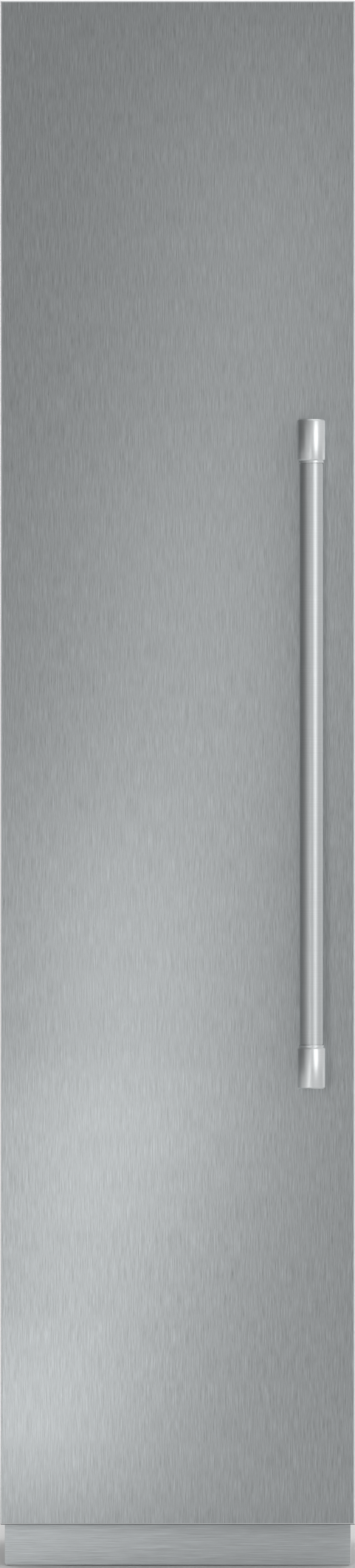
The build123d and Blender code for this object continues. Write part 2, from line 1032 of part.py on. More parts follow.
def condenser():
    low_x, low_y = condenser_box()
    return fin_pack(
        low_x,
        condenser_width,
        low_y,
        condenser_depth,
        base_floor,
        condenser_height,
        condenser_pitch,
    )


def condenser_fan_place():
    low_x, low_y = condenser_box()
    x = low_x + condenser_width / 2
    y = low_y + condenser_depth + fan_gap
    return x, y, base_floor + fan_radius + fan_tip_gap + fan_frame_wall


def fan_mount(x, low_y, z, depth):
    # Motor on a cross of spokes, behind the rotor
    half = fan_radius + fan_tip_gap + fan_frame_wall
    back = low_y + depth
    front = back - fan_frame_wall
    spoke = spoke_width / 2
    mount = block(x - half, x + half, front, back, z - spoke, z + spoke)
    mount += block(x - spoke, x + spoke, front, back, z - half, z + half)
    mount += fore_aft(motor_radius, x, front, back + motor_length, z)
    return mount - fore_aft(
        fan_shaft_radius + fan_shaft_clearance,
        x,
        front - overrun,
        back + fan_shaft_reach,
        z,
    )


def condenser_fan_frame():
    x, low_y, z = condenser_fan_place()
    half = fan_radius + fan_tip_gap + fan_frame_wall
    frame = block(x - half, x + half, low_y, low_y + fan_frame_depth, z - half, z + half)
    frame -= fore_aft(
        fan_radius + fan_tip_gap, x, low_y - overrun, low_y + fan_frame_depth + overrun, z
    )
    return frame + fan_mount(x, low_y, z, fan_frame_depth)


def fan_rotor(x, low_y, z, shaft_end):
    hub = fore_aft(fan_hub_radius, x, low_y, low_y + fan_hub_length, z)
    hub += fore_aft(fan_shaft_radius, x, low_y, shaft_end, z)
    blade_run = fan_radius - fan_hub_radius / 2
    middle = (fan_radius + fan_hub_radius / 2) / 2
    for index in range(fan_blades):
        turn = Rot(0, 0, full_turn * index / fan_blades + condenser_fan_turn)
        blade = turn * Pos(middle, 0, 0) * Rot(fan_pitch, 0, 0) * Box(
            blade_run, fan_blade_chord, fan_blade_sheet
        )
        blade &= Cylinder(fan_radius, fan_hub_length)
        hub += Pos(x, low_y + fan_hub_length / 2, z) * Rot(quarter_turn, 0, 0) * blade
    return hub


def condenser_fan():
    x, low_y, z = condenser_fan_place()
    end = low_y + fan_frame_depth + fan_shaft_reach - fan_shaft_clearance
    return fan_rotor(x, low_y + fan_shaft_radius, z, end)


def drip_tray():
    high_x = case_half - base_sheet
    low_y = body_front + tray_setback
    return tub(
        high_x - tray_width,
        high_x,
        low_y,
        low_y + tray_depth,
        base_floor,
        base_floor + tray_height,
        tray_wall,
        tray_wall,
    )


def control_box():
    high_x = case_half - base_sheet - box_margin
    high_y = rear_cover - case_sheet - base_sheet - box_margin * 2
    shape = block(
        high_x - box_width, high_x, high_y - box_depth, high_y, base_floor, base_floor + box_height
    )
    return fillet(shape.edges().filter_by(Axis.Z), box_round)


def cord_gland():
    wall_front = rear_cover - case_sheet
    gland = fore_aft(gland_radius, gland_x, wall_front, rear_cover + gland_length, gland_z)
    gland += fore_aft(
        gland_nut_radius, gland_x, wall_front - gland_nut_length, wall_front, gland_z
    )
    gland += fore_aft(gland_nut_radius, gland_x, rear_cover, rear_cover + gland_nut_length, gland_z)
    return gland - fore_aft(
        gland_bore,
        gland_x,
        wall_front - gland_nut_length - overrun,
        rear_cover + gland_length + overrun,
        gland_z,
    )


def water_valve():
    wall_front = rear_cover - case_sheet
    half = valve_body / 2
    valve = block(
        valve_x - half, valve_x + half, wall_front - valve_body, wall_front, valve_z - half, valve_z + half
    )
    valve += fore_aft(
        valve_spigot_radius, valve_x, wall_front, rear_cover + valve_spigot_length, valve_z
    )
    valve += fore_aft(
        valve_flange_radius, valve_x, rear_cover, rear_cover + valve_flange_length, valve_z
    )
    return valve - fore_aft(
        valve_bore, valve_x, rear_cover, rear_cover + valve_spigot_length + overrun, valve_z
    )


def pipework():
    comp_x, comp_y = compressor_place()
    shell_foot = compressor_base() + compressor_plate
    shell_top = shell_foot + compressor_height
    over_z = shell_top + pipe_rise
    low_x, low_y = condenser_box()
    coil_y = low_y + condenser_depth / 2
    coil_x = pack_end(low_x, condenser_width, condenser_pitch)
    coil_z = row_height(base_floor, condenser_height, 2)
    evap_x = pack_end(-evaporator_width / 2, evaporator_width, evaporator_pitch)
    evap_y = cavity_back - evaporator_back_gap - evaporator_depth / 2
    chase_middle = liner_back + chase_wall + chase_depth / 2
    # From the shell's top over to the condenser's top
    discharge = pipe(
        (
            (comp_x, comp_y, shell_top),
            (comp_x, comp_y, over_z),
            (comp_x, coil_y, over_z),
            (comp_x, coil_y, base_floor + condenser_height),
        )
    )
    # From the condenser through the drier, up the back and into the evaporator's lowest row
    level_z = deck_foot - pipe_level_drop
    turn_x = coil_x + pipe_turn
    drier_front = coil_y + drier_start
    liquid_x = chase_x - pipe_spacing / 2
    liquid_y = chase_middle - pipe_stagger / 2
    liquid_z = row_height(evaporator_base, evaporator_height, 0)
    liquid = pipe(
        (
            (coil_x, coil_y, coil_z),
            (turn_x, coil_y, coil_z),
            (turn_x, coil_y, level_z),
            (turn_x, drier_front, level_z),
        )
    )
    drier_back = drier_front + drier_length
    drier = fore_aft(drier_radius, turn_x, drier_front, drier_back, level_z)
    capillary = pipe(
        (
            (turn_x, drier_back, level_z),
            (turn_x, liquid_y, level_z),
            (liquid_x, liquid_y, level_z),
            (liquid_x, liquid_y, liquid_z),
            (liquid_x, evap_y, liquid_z),
            (evap_x, evap_y, liquid_z),
        )
    )
    # From the evaporator's second row back down to the shell's side
    suction_x = chase_x + pipe_spacing / 2
    suction_y = chase_middle + pipe_stagger / 2
    suction_z = row_height(evaporator_base, evaporator_height, 1)
    port_z = shell_foot + compressor_height / 3
    port_x = comp_x + compressor_radius
    suction = pipe(
        (
            (port_x, comp_y, port_z),
            (port_x + pipe_turn, comp_y, port_z),
            (port_x + pipe_turn, comp_y, over_z),
            (port_x + pipe_turn, suction_y, over_z),
            (suction_x, suction_y, over_z),
            (suction_x, suction_y, suction_z),
            (suction_x, evap_y, suction_z),
            (evap_x, evap_y, suction_z),
        )
    )
    # Water from the valve up to a spout over the ice mould
    tube_y = liner_back + tube_chase_wall + tube_chase_width / 2
    spout_y = tube_y - water_tube_reach
    water_tube = pipe(
        (
            (tube_chase_x, tube_y, valve_z + valve_body / 2),
            (tube_chase_x, tube_y, water_tube_height),
            (tube_chase_x, spout_y, water_tube_height),
            (tube_chase_x, spout_y, spout_foot),
        )
    )
    return [discharge, liquid, drier, capillary, suction, water_tube]


# Inside the freezer


def shelf(height):
    half = cavity_half - shelf_side_gap
    low_y = cabinet_face + shelf_setback
    return block(
        -half, half, low_y, duct_front - shelf_back_gap, height, height + shelf_glass
    )


def ledge_pair(low_z, reach, low_y, high_y):
    # An angle on each side wall
    angle = block(cavity_half - reach, cavity_half, low_y, high_y, low_z, low_z + ledge_sheet)
    angle += block(
        cavity_half - ledge_sheet / 2, cavity_half, low_y, high_y, low_z - ledge_up, low_z
    )
    return mirrored(angle)


def shelf_supports():
    ledges = []
    low_y = cabinet_face + shelf_setback + ledge_end
    high_y = duct_front - shelf_back_gap - ledge_end
    for height in shelf_heights:
        ledges += ledge_pair(height - ledge_sheet, ledge_width, low_y, high_y)
    ledges += ledge_pair(
        ice_bin_floor - ledge_sheet - runner_gap,
        cavity_half - tray_half_width + ledge_width,
        drawer_face + ledge_end,
        high_y,
    )
    return ledges


def evaporator_cover():
    half = cavity_half - duct_side_gap
    low_z = cavity_floor + duct_floor_gap
    high_z = cavity_top - duct_top_gap
    cover = block(-half, half, duct_front, cavity_back, low_z, high_z)
    cover -= block(
        -half + duct_sheet,
        half - duct_sheet,
        duct_front + duct_sheet,
        cavity_back + overrun,
        low_z + duct_sheet,
        high_z - duct_sheet,
    )
    for row in range(vent_count):
        z = vent_base + row * vent_pitch
        cover -= block(
            -vent_width / 2,
            vent_width / 2,
            duct_front - overrun,
            duct_front + duct_sheet + overrun,
            z,
            z + vent_height,
        )
        low = cavity_floor + duct_floor_gap + vent_pitch + row * vent_pitch
        cover -= block(
            -vent_width / 2,
            vent_width / 2,
            duct_front - overrun,
            duct_front + duct_sheet + overrun,
            low,
            low + vent_height,
        )
    cover -= fore_aft(
        fan_radius + fan_tip_gap, 0, duct_front - overrun, duct_front + duct_sheet + overrun, fan_height
    )
    cover -= tube_channel(low_z, duct_front - overrun)
    rim = fore_aft(
        fan_radius + fan_tip_gap + fan_frame_wall, 0, duct_front, duct_front + fan_frame_depth, fan_height
    )
    rim -= fore_aft(
        fan_radius + fan_tip_gap, 0, duct_front - overrun, duct_front + fan_frame_depth + overrun, fan_height
    )
    return cover + rim + fan_mount(0, duct_front, fan_height, fan_frame_depth)


def evaporator_fan():
    end = duct_front + fan_frame_depth + fan_shaft_reach - fan_shaft_clearance
    return fan_rotor(0, duct_front + fan_shaft_radius, fan_height, end)


def evaporator():
    low_y = cavity_back - evaporator_depth - evaporator_back_gap
    half = evaporator_width / 2
    return fin_pack(
        -half,
        evaporator_width,
        low_y,
        evaporator_depth,
        evaporator_base,
        evaporator_height,
        evaporator_pitch,
    )


def light_bars():
    low_y = cabinet_face + light_setback
    bar = block(
        light_spacing / 2 - light_width / 2,
        light_spacing / 2 + light_width / 2,
        low_y,
        low_y + light_depth,
        cavity_top - light_height,
        cavity_top,
    )
    return mirrored(bar)


def button_places():
    z = (control_foot + control_top) / 2
    return [(button_offset + (index - 1) * button_spacing, z) for index in range(3)]


def control_panel():
    half = cavity_half - control_gap
    panel = block(
        -half, half, control_face, control_face + control_depth, control_foot, control_top
    )
    z = (control_foot + control_top) / 2
    panel -= block(
        display_offset - display_width / 2,
        display_offset + display_width / 2,
        control_face - overrun,
        control_face + display_recess,
        z - display_height / 2,
        z + display_height / 2,
    )
    depth = button_length - button_proud + button_travel + button_clearance
    for x, height in button_places():
        panel -= fore_aft(
            button_radius + button_clearance, x, control_face - overrun, control_face + depth, height
        )
    return panel


def button(index):
    x, z = button_places()[index]
    low_y = control_face - button_proud
    cap = fore_aft(button_radius, x, low_y, low_y + button_length, z)
    front = cap.edges().filter_by(GeomType.CIRCLE).sort_by(Axis.Y)[0]
    return fillet(front, button_proud / 2)


# Drawers, runners and ice bin


def drawer(level):
    floor = drawer_floors[level]
    top = floor + drawer_heights[level]
    back = drawer_face + drawer_depth
    body = block(-tray_half_width, tray_half_width, drawer_face, back, floor, top)
    body -= block(
        -tray_half_width + drawer_wall,
        tray_half_width - drawer_wall,
        drawer_face + drawer_front,
        back - drawer_wall,
        floor + drawer_wall,
        top + overrun,
    )
    # A lowered stretch of the front is the grip
    body -= block(
        -drawer_grip_width / 2,
        drawer_grip_width / 2,
        drawer_face - overrun,
        drawer_face + drawer_front + overrun,
        top - drawer_grip_drop,
        top + overrun,
    )
    rail_top = top - runner_drop
    rail = block(
        tray_half_width,
        tray_half_width + runner_inner,
        drawer_face + runner_start,
        drawer_face + runner_start + runner_length,
        rail_top - runner_height + runner_wall * 2,
        rail_top - runner_wall * 2,
    )
    for side in mirrored(rail):
        body += side
    return body


def runner_slides(level):
    # Middle members: a channel open towards the drawer's rail
    rail_top = drawer_floors[level] + drawer_heights[level] - runner_drop
    low_x = tray_half_width + runner_gap
    high_x = tray_half_width + runner_inner + runner_gap + runner_wall
    front = drawer_face + slide_start
    channel = block(
        low_x,
        high_x,
        front,
        front + runner_length,
        rail_top - runner_height + runner_wall,
        rail_top - runner_wall,
    )
    channel -= block(
        low_x - overrun,
        high_x - runner_wall,
        front - overrun,
        front + runner_length + overrun,
        rail_top - runner_height + runner_wall * 2 - runner_gap,
        rail_top - runner_wall * 2 + runner_gap,
    )
    return mirrored(channel)


def runner_rails():
    # Fixed members on the side walls: channels open towards the middle members
    rails = []
    for level in range(len(drawer_floors)):
        rail_top = drawer_floors[level] + drawer_heights[level] - runner_drop
        low_x = tray_half_width + runner_inner + runner_gap * 2
        front = drawer_face + slide_start
        channel = block(
            low_x,
            cavity_half,
            front,
            front + runner_length,
            rail_top - runner_height,
            rail_top,
        )
        channel -= block(
            low_x - overrun,
            low_x + runner_wall + runner_gap,
            front - overrun,
            front + runner_length + overrun,
            rail_top - runner_height + runner_wall - runner_gap,
            rail_top - runner_wall + runner_gap,
        )
        rails += mirrored(channel)
    return rails


def ice_bin():
    back = drawer_face + drawer_depth
    top = ice_bin_floor + ice_bin_height
    shell = tub(
        -tray_half_width,
        tray_half_width,
        drawer_face,
        back,
        ice_bin_floor,
        top,
        drawer_wall,
        drawer_wall,
    )
    return shell - block(
        -drawer_grip_width / 2,
        drawer_grip_width / 2,
        drawer_face - overrun,
        drawer_face + drawer_wall + overrun,
        top - drawer_grip_drop,
        top + overrun,
    )


def shaft_line():
    # The ejector's axis runs front to back over the mould's cups
    x = -cavity_half + ice_maker_width / 2
    front = cabinet_face + ice_maker_setback
    return x, front, ice_maker_height + ice_maker_body


def ice_maker():
    x, front, axis_z = shaft_line()
    back = front + ice_maker_depth
    half = ice_maker_width / 2
    mould_front = front + ice_maker_motor
    motor = block(x - half, x + half, front, mould_front, ice_maker_height, axis_z + ice_maker_body / 2)
    body = block(x - half, x + half, mould_front, back, ice_maker_height, axis_z)
    cup_radius = ice_maker_body - ice_cup_wall * 2
    cup_run = (back - mould_front - ice_cup_wall * 2 - ice_rib * (ice_cup_count - 1)) / ice_cup_count
    for index in range(ice_cup_count):
        low_y = mould_front + ice_cup_wall + index * (cup_run + ice_rib)
        body -= fore_aft(cup_radius, x, low_y, low_y + cup_run, axis_z)
    rest = fore_aft(ejector_radius + ice_cup_wall, x, back - ice_cup_wall, back, axis_z)
    shape = motor + body + rest
    shape -= fore_aft(
        ejector_radius + ejector_clearance, x, mould_front - ice_cup_wall, back + overrun, axis_z
    )
    return shape


def ice_ejector():
    x, front, axis_z = shaft_line()
    back = front + ice_maker_depth
    mould_front = front + ice_maker_motor
    shaft = fore_aft(ejector_radius, x, mould_front - ice_cup_wall + ejector_clearance, back, axis_z)
    cup_run = (back - mould_front - ice_cup_wall * 2 - ice_rib * (ice_cup_count - 1)) / ice_cup_count
    for index in range(ice_cup_count):
        middle = mould_front + ice_cup_wall + index * (cup_run + ice_rib) + cup_run / 2
        shaft += block(
            x,
            x + ejector_radius + ejector_finger,
            middle - ejector_finger_width / 2,
            middle + ejector_finger_width / 2,
            axis_z - ejector_finger_width / 2,
            axis_z + ejector_finger_width / 2,
        )
    return shaft


def ice_feeler_arm():
    x, front, _ = shaft_line()
    pivot_side = x + ice_maker_width / 2
    z = ice_maker_height + ice_maker_body / 2
    start_y = front + ice_maker_motor / 2
    out_x = pivot_side + feeler_boss * 2
    low_z = z - feeler_reach
    points = (
        (pivot_side + control_gap, start_y, z),
        (out_x, start_y, z),
        (out_x, start_y, low_z),
        (out_x, start_y + feeler_run, low_z),
    )
    return bent_rod(points, feeler_wire, feeler_bend)


def save(name, shape):
    if isinstance(shape, list):
        shape = Compound(shape)
    shape.label = name
    export_step(shape, os.path.join("parts", name + ".step"))


os.makedirs("parts", exist_ok=True)

save("door_panel", door_panel())
save("door_frame", door_frame())
save("door_foam", door_foam())
save("door_liner", door_liner())
save("door_gasket", door_gasket())
save("pivot_brackets", pivot_brackets())
save("pivot_bushes", pivot_bushes())
save("handle_bar", handle_bar())
save("upper_handle_cap", handle_cap(handle_top, handle_top - cap_length))
save("lower_handle_cap", handle_cap(handle_foot, handle_foot + cap_length))
save("handle_posts", handle_posts())
save("handle_bolts", handle_bolts())
for bin_name, bin_floor in zip(("low_door_bin", "middle_door_bin", "high_door_bin"), bin_floors):
    save(bin_name, door_bin(bin_floor))

save("outer_case", outer_case())
save("cabinet_foam", cabinet_foam())
save("freezer_liner", freezer_liner())
save("face_frame", face_frame())
save("upper_hinge", upper_hinge())
save("lower_hinge", lower_hinge())
save("hinge_screws", hinge_screws())
save("base_pan", base_pan())
for wheel_name, place in zip(("left_wheel", "right_wheel"), wheel_places()):
    save(wheel_name, wheel(*place))
for foot_name, place in zip(("left_foot", "right_foot"), foot_places()):
    save(foot_name, foot(*place))
save("toe_kick", toe_kick())

save("machine_grille", machine_grille())
save("compressor", compressor())
save("compressor_mounts", compressor_mounts())
save("condenser", condenser())
save("condenser_fan_frame", condenser_fan_frame())
save("condenser_fan", condenser_fan())
save("drip_tray", drip_tray())
save("control_box", control_box())
save("cord_gland", cord_gland())
save("water_valve", water_valve())
save("pipework", pipework())

for shelf_name, shelf_height in zip(("low_shelf", "middle_shelf", "high_shelf"), shelf_heights):
    save(shelf_name, shelf(shelf_height))
save("shelf_supports", shelf_supports())
save("evaporator_cover", evaporator_cover())
save("evaporator_fan", evaporator_fan())
save("evaporator", evaporator())
save("light_bars", light_bars())
save("control_panel", control_panel())
for index, button_name in enumerate(("power_button", "colder_button", "warmer_button")):
    save(button_name, button(index))

for level, level_name in enumerate(("lower", "upper")):
    save(level_name + "_drawer", drawer(level))
    save(level_name + "_runners", runner_slides(level))
save("runner_rails", runner_rails())
save("ice_bin", ice_bin())
save("ice_maker", ice_maker())
save("ice_ejector", ice_ejector())
save("ice_feeler_arm", ice_feeler_arm())
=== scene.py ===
# Looks of the built-in column freezer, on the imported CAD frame. Metres, +Z up, the door faces -Y.
import json
import math

import bmesh
import bpy
from mathutils import Matrix, Vector


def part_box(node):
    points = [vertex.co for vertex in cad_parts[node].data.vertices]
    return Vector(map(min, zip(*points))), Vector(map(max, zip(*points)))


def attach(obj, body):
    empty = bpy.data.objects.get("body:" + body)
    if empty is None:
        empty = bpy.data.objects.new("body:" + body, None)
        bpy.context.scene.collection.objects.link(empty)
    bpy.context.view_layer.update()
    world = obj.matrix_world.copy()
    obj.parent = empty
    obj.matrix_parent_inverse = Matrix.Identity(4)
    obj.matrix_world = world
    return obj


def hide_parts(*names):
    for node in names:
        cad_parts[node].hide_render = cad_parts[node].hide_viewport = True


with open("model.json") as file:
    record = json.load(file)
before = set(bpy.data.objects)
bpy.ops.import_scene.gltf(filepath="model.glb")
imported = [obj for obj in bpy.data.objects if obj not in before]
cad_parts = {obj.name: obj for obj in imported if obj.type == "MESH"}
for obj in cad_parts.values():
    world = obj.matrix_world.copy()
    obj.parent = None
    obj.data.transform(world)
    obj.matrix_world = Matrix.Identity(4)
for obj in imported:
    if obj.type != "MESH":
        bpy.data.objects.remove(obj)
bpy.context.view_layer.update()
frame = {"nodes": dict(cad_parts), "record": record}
print("frame loaded:", len(frame["nodes"]), "nodes")


# Node graphs


class Value:
    # One output of a node. Sums on it add Math nodes
    def __init__(self, graph, socket):
        self.graph = graph
        self.socket = socket

    def calc(self, operation, first, second):
        return self.graph.add("ShaderNodeMath", {"operation": operation}, {0: first, 1: second})

    def __add__(self, other):
        return self.calc("ADD", self, other)

    def __radd__(self, other):
        return self.calc("ADD", other, self)

    def __sub__(self, other):
        return self.calc("SUBTRACT", self, other)

    def __rsub__(self, other):
        return self.calc("SUBTRACT", other, self)

    def __mul__(self, other):
        return self.calc("MULTIPLY", self, other)

    def __rmul__(self, other):
        return self.calc("MULTIPLY", other, self)

    def __truediv__(self, other):
        return self.calc("DIVIDE", self, other)

    def __rtruediv__(self, other):
        return self.calc("DIVIDE", other, self)

    def greater(self, other):
        return self.calc("MAXIMUM", self, other)


class Graph:
    # A node tree that is filled through one method
    def __init__(self, tree):
        self.tree = tree

    def add(self, kind, settings=None, inputs=None, output=0):
        node = self.tree.nodes.new(kind)
        for name, value in (settings or {}).items():
            setattr(node, name, value)
        for key, value in (inputs or {}).items():
            if isinstance(value, Value):
                self.tree.links.new(value.socket, node.inputs[key])
            else:
                node.inputs[key].default_value = value
        return Value(self, node.outputs[output]) if len(node.outputs) else node


def tone(colour):
    return (*colour, 1.0)


def shade(colour, share):
    return tuple(part * share for part in colour)


class Finish(Graph):
    # A material: patterns read Object coordinates, in metres
    def __init__(self, name):
        self.material = bpy.data.materials.new(name)
        self.material.use_nodes = True
        super().__init__(self.material.node_tree)
        self.tree.nodes.clear()
        self.place = self.add("ShaderNodeTexCoord", output=3)

    def stretched(self, scale, turn=(0, 0, 0)):
        scale = scale if isinstance(scale, (list, tuple)) else (scale,) * 3
        return self.add("ShaderNodeMapping", {}, {"Vector": self.place, "Scale": scale, "Rotation": turn})

    def noise(self, scale, detail=2.0, rough=0.5, turn=(0, 0, 0)):
        inputs = {"Vector": self.stretched(scale, turn), "Scale": 1.0, "Detail": detail, "Roughness": rough}
        return self.add("ShaderNodeTexNoise", {}, inputs)

    def cells(self, scale, output=0):
        return self.add("ShaderNodeTexVoronoi", {}, {"Vector": self.stretched(scale), "Scale": 1.0}, output)

    def between(self, value, low, high, floor=0.0, top=1.0):
        inputs = {"Value": value, "From Min": low, "From Max": high, "To Min": floor, "To Max": top}
        return self.add("ShaderNodeMapRange", {}, inputs)

    def blend(self, share, first, second):
        first, second = (tone(side) if isinstance(side, tuple) else side for side in (first, second))
        return self.add("ShaderNodeMix", {"data_type": "RGBA"}, {0: share, 6: first, 7: second}, 2)

    def mottled(self, value, low, high, colour, dark, pale=1.0):
        # The colour times dark where the value is low, and times pale where it is high
        return self.blend(self.between(value, low, high), shade(colour, dark), shade(colour, pale))

    def relief(self, height, depth, strength):
        return self.add("ShaderNodeBump", {}, {"Height": height, "Distance": depth, "Strength": strength})

    def worn(self, width):
        # 1 along edges, 0 on faces
        inside = self.add("ShaderNodeBevel", {"samples": 4}, {"Radius": width})
        normal = self.add("ShaderNodeNewGeometry", output=1)
        close = self.add("ShaderNodeVectorMath", {"operation": "DOT_PRODUCT"}, {0: inside, 1: normal}, 1)
        return self.between(close, 0.999, 0.9)

    def done(self, **inputs):
        sockets = {key.replace("_", " "): value for key, value in inputs.items()}
        surface = self.add("ShaderNodeBsdfPrincipled", {}, sockets)
        self.add("ShaderNodeOutputMaterial", {}, {"Surface": surface})
        return self.material


# Finishes, one for each slot of the record

doorSteel = {
    "colour": (0.50, 0.525, 0.535),
    "along": 2,
    "roughness": 0.31,
    "contrast": 0.31,
    "width": 0.0007,
    "length": 0.016,
    "folds": True,
}
# The toe-kick: a copy of the door's steel whose colour is painted 1.3 times paler, as painted light, since the lamps
# leave the recessed kick darker than the door
kickSteel = {
    "colour": shade(doorSteel["colour"], 1.3),
    "along": 0,
    "roughness": 0.33,
    "contrast": 0.24,
    "width": 0.0008,
    "length": 0.03,
    "folds": True,
}
# The pale colour of the painted highlight on the folded edges of the door and toe-kick, and the dark colour of the
# painted shade where they face down
paintedFoldHighlight, paintedUnderShade = (0.94, 0.96, 0.97), (0.12, 0.125, 0.13)


def brushed(name, colour, along, roughness, contrast, width, length, folds=False):
    # Sheet with fine lines: along is the axis that they run along. If folds is set, a pale, less metallic colour is
    # painted where the sheet turns round its front edges, as a painted highlight, and a dark colour where it faces
    # down, as painted shade
    made = Finish(name)
    fine, broad = [1 / width] * 3, [0.6 / width] * 3
    fine[along], broad[along] = 1 / length, 0.4 / length
    lines = made.noise(fine, 3.0, 0.62)
    grain = lines * 0.55 + made.noise(broad) * 0.45
    colours = made.mottled(grain, 0.30, 0.70, colour, 1 - contrast, 1 + contrast)
    metal = 1.0
    if folds:
        facing = made.add("ShaderNodeTexCoord", output=1)
        front = made.add("ShaderNodeSeparateXYZ", {}, {"Vector": facing}, 1) * -1
        up = made.add("ShaderNodeSeparateXYZ", {}, {"Vector": facing}, 2)
        # Painted highlight: a pale, less metallic colour where the normal turns round the sheet's front edges
        paintedHighlightMask = made.between(front, 0.995, 0.95) * made.between(front, 0.1, 0.3)
        colours = made.blend(paintedHighlightMask, colours, paintedFoldHighlight)
        # Painted shade where the surface faces down
        colours = made.blend(made.between(up, -0.5, -0.7), colours, paintedUnderShade)
        metal = 1 - paintedHighlightMask
    dull = made.between(lines, 0.25, 0.75, roughness - 0.05, roughness + 0.07)
    normal = made.relief(lines, 0.00006, 0.5)
    return made.done(Base_Color=colours, Metallic=metal, Roughness=dull, Normal=normal)


def turnedSteel(name, colour, roughness, contrast, pitch):
    # Fine lathe lines round the upright axis
    made = Finish(name)
    lines = made.noise((6, 6, 1 / pitch), 3.0, 0.6)
    soft = made.noise((25, 25, 90))
    tones = made.mottled(lines, 0.3, 0.7, colour, 1 - contrast, 1 + contrast)
    dull = made.between(lines * 0.6 + soft * 0.4, 0.3, 0.7, roughness - 0.04, roughness + 0.05)
    return made.done(Base_Color=tones, Metallic=1.0, Roughness=dull, Normal=made.relief(lines, 0.00003, 0.12))


def platedSteel(name, colour, roughness):
    # Zinc-plated or plain pressed steel with soft cloudy tones
    made = Finish(name)
    cloud = made.noise(55, 4.0, 0.6)
    scratch = made.noise((900, 60, 700), turn=(0.2, 0.4, 0.3))
    tones = made.mottled(cloud, 0.3, 0.7, colour, 0.8, 1.12)
    edged = made.blend(made.worn(0.0008), tones, shade(colour, 1.35))
    dull = made.between(cloud * 0.6 + scratch * 0.4, 0.3, 0.7, roughness - 0.07, roughness + 0.09)
    return made.done(Base_Color=edged, Metallic=1.0, Roughness=dull, Normal=made.relief(scratch, 0.00003, 0.4))


def spangled(name, colour, roughness):
    # Hot-dip galvanised sheet: crystals of slightly different tone
    made = Finish(name)
    wobble = made.noise(60)
    grey = made.add("ShaderNodeSeparateColor", {}, {"Color": made.cells(110, 1)})
    small = made.cells(260)
    tones = made.mottled(grey * 0.7 + wobble * 0.3, 0.15, 0.85, colour, 0.9, 1.07)
    dull = made.between(grey * 0.6 + small * 0.4, 0.0, 1.0, roughness - 0.09, roughness + 0.11)
    return made.done(Base_Color=tones, Metallic=0.9, Roughness=dull, Normal=made.relief(small + wobble, 0.00008, 0.3))


def paintedSteel(name, colour, roughness, peel=0.00005):
    # Powder coat: orange peel, with the edges rubbed a little
    made = Finish(name)
    skin = made.noise(700)
    dust = made.noise((30, 30, 45), 4.0, 0.62)
    tones = made.mottled(dust, 0.3, 0.75, colour, 0.93, 1.05)
    edged = made.blend(made.worn(0.0009) * 0.5, tones, shade(colour, 1.5))
    dull = made.between(dust * 0.5 + skin * 0.5, 0.3, 0.7, roughness - 0.06, roughness + 0.08)
    return made.done(Base_Color=edged, Roughness=dull, Normal=made.relief(skin, peel, 0.5))


def mouldedPlastic(name, colour, roughness, grainSize=0.0009, depth=0.00006, sheen=0.0):
    # Moulded plastic with a fine spark-eroded texture
    made = Finish(name)
    pits = made.cells(1 / grainSize)
    cloud = made.noise((18, 18, 26), 4.0, 0.55)
    tones = made.mottled(cloud, 0.3, 0.72, colour, 0.94, 1.04)
    edged = made.blend(made.worn(0.0009) * 0.35, tones, tuple(min(1.0, part * 1.2 + 0.02) for part in colour))
    dull = made.between(cloud * 0.5 + pits * 0.5, 0.2, 0.8, roughness - 0.07, roughness + 0.08)
    return made.done(Base_Color=edged, Roughness=dull, Normal=made.relief(pits, depth, 0.45), Coat_Weight=sheen)


def rubber(name, colour, roughness):
    made = Finish(name)
    bloom = made.noise(70, 4.0, 0.65)
    fine = made.noise(900)
    tones = made.mottled(bloom, 0.35, 0.75, colour, 0.85, 1.2)
    dull = made.between(bloom * 0.6 + fine * 0.4, 0.3, 0.7, roughness - 0.08, roughness + 0.06)
    return made.done(Base_Color=tones, Roughness=dull, Normal=made.relief(fine + bloom, 0.00008, 0.4))


def expandedFoam(name, colour):
    # Rigid foam: closed cells, with patches that are a little darker
    made = Finish(name)
    bubbles = made.cells(420)
    lumps = made.noise(28, 4.0, 0.6)
    tones = made.mottled(bubbles, 0.05, 0.6, colour, 0.74)
    tones = made.blend(made.between(lumps, 0.4, 0.75, 0.0, 0.4), tones, shade(colour, 0.82))
    dull = made.between(bubbles, 0.0, 0.7, 0.95, 0.75)
    return made.done(Base_Color=tones, Roughness=dull, Normal=made.relief(bubbles * 0.4 + lumps, 0.0009, 0.6))


def clearPlastic(name, colour, roughness, ior=1.5, streak=(9, 9, 120)):
    # Clear moulding or glass: flow lines and a light bloom of frost
    made = Finish(name)
    flow = made.noise(streak, 3.0)
    frost = made.noise(160, 4.0, 0.7)
    tones = made.mottled(flow, 0.3, 0.7, colour, 0.95)
    dull = made.between(flow * 0.4 + frost * 0.6, 0.35, 0.75, roughness, roughness + 0.12)
    normal = made.relief(flow, 0.0002, 0.25)
    return made.done(Base_Color=tones, Roughness=dull, Normal=normal, Transmission_Weight=0.85, IOR=ior)


def glowing(name, colour, glow, strength):
    made = Finish(name)
    ripple = made.noise(240)
    tones = made.mottled(ripple, 0.3, 0.7, colour, 0.9)
    light = made.mottled(ripple, 0.2, 0.8, glow, 0.85)
    dull = made.between(ripple, 0.2, 0.8, 0.3, 0.5)
    return made.done(Base_Color=tones, Roughness=dull, Emission_Color=light, Emission_Strength=strength)


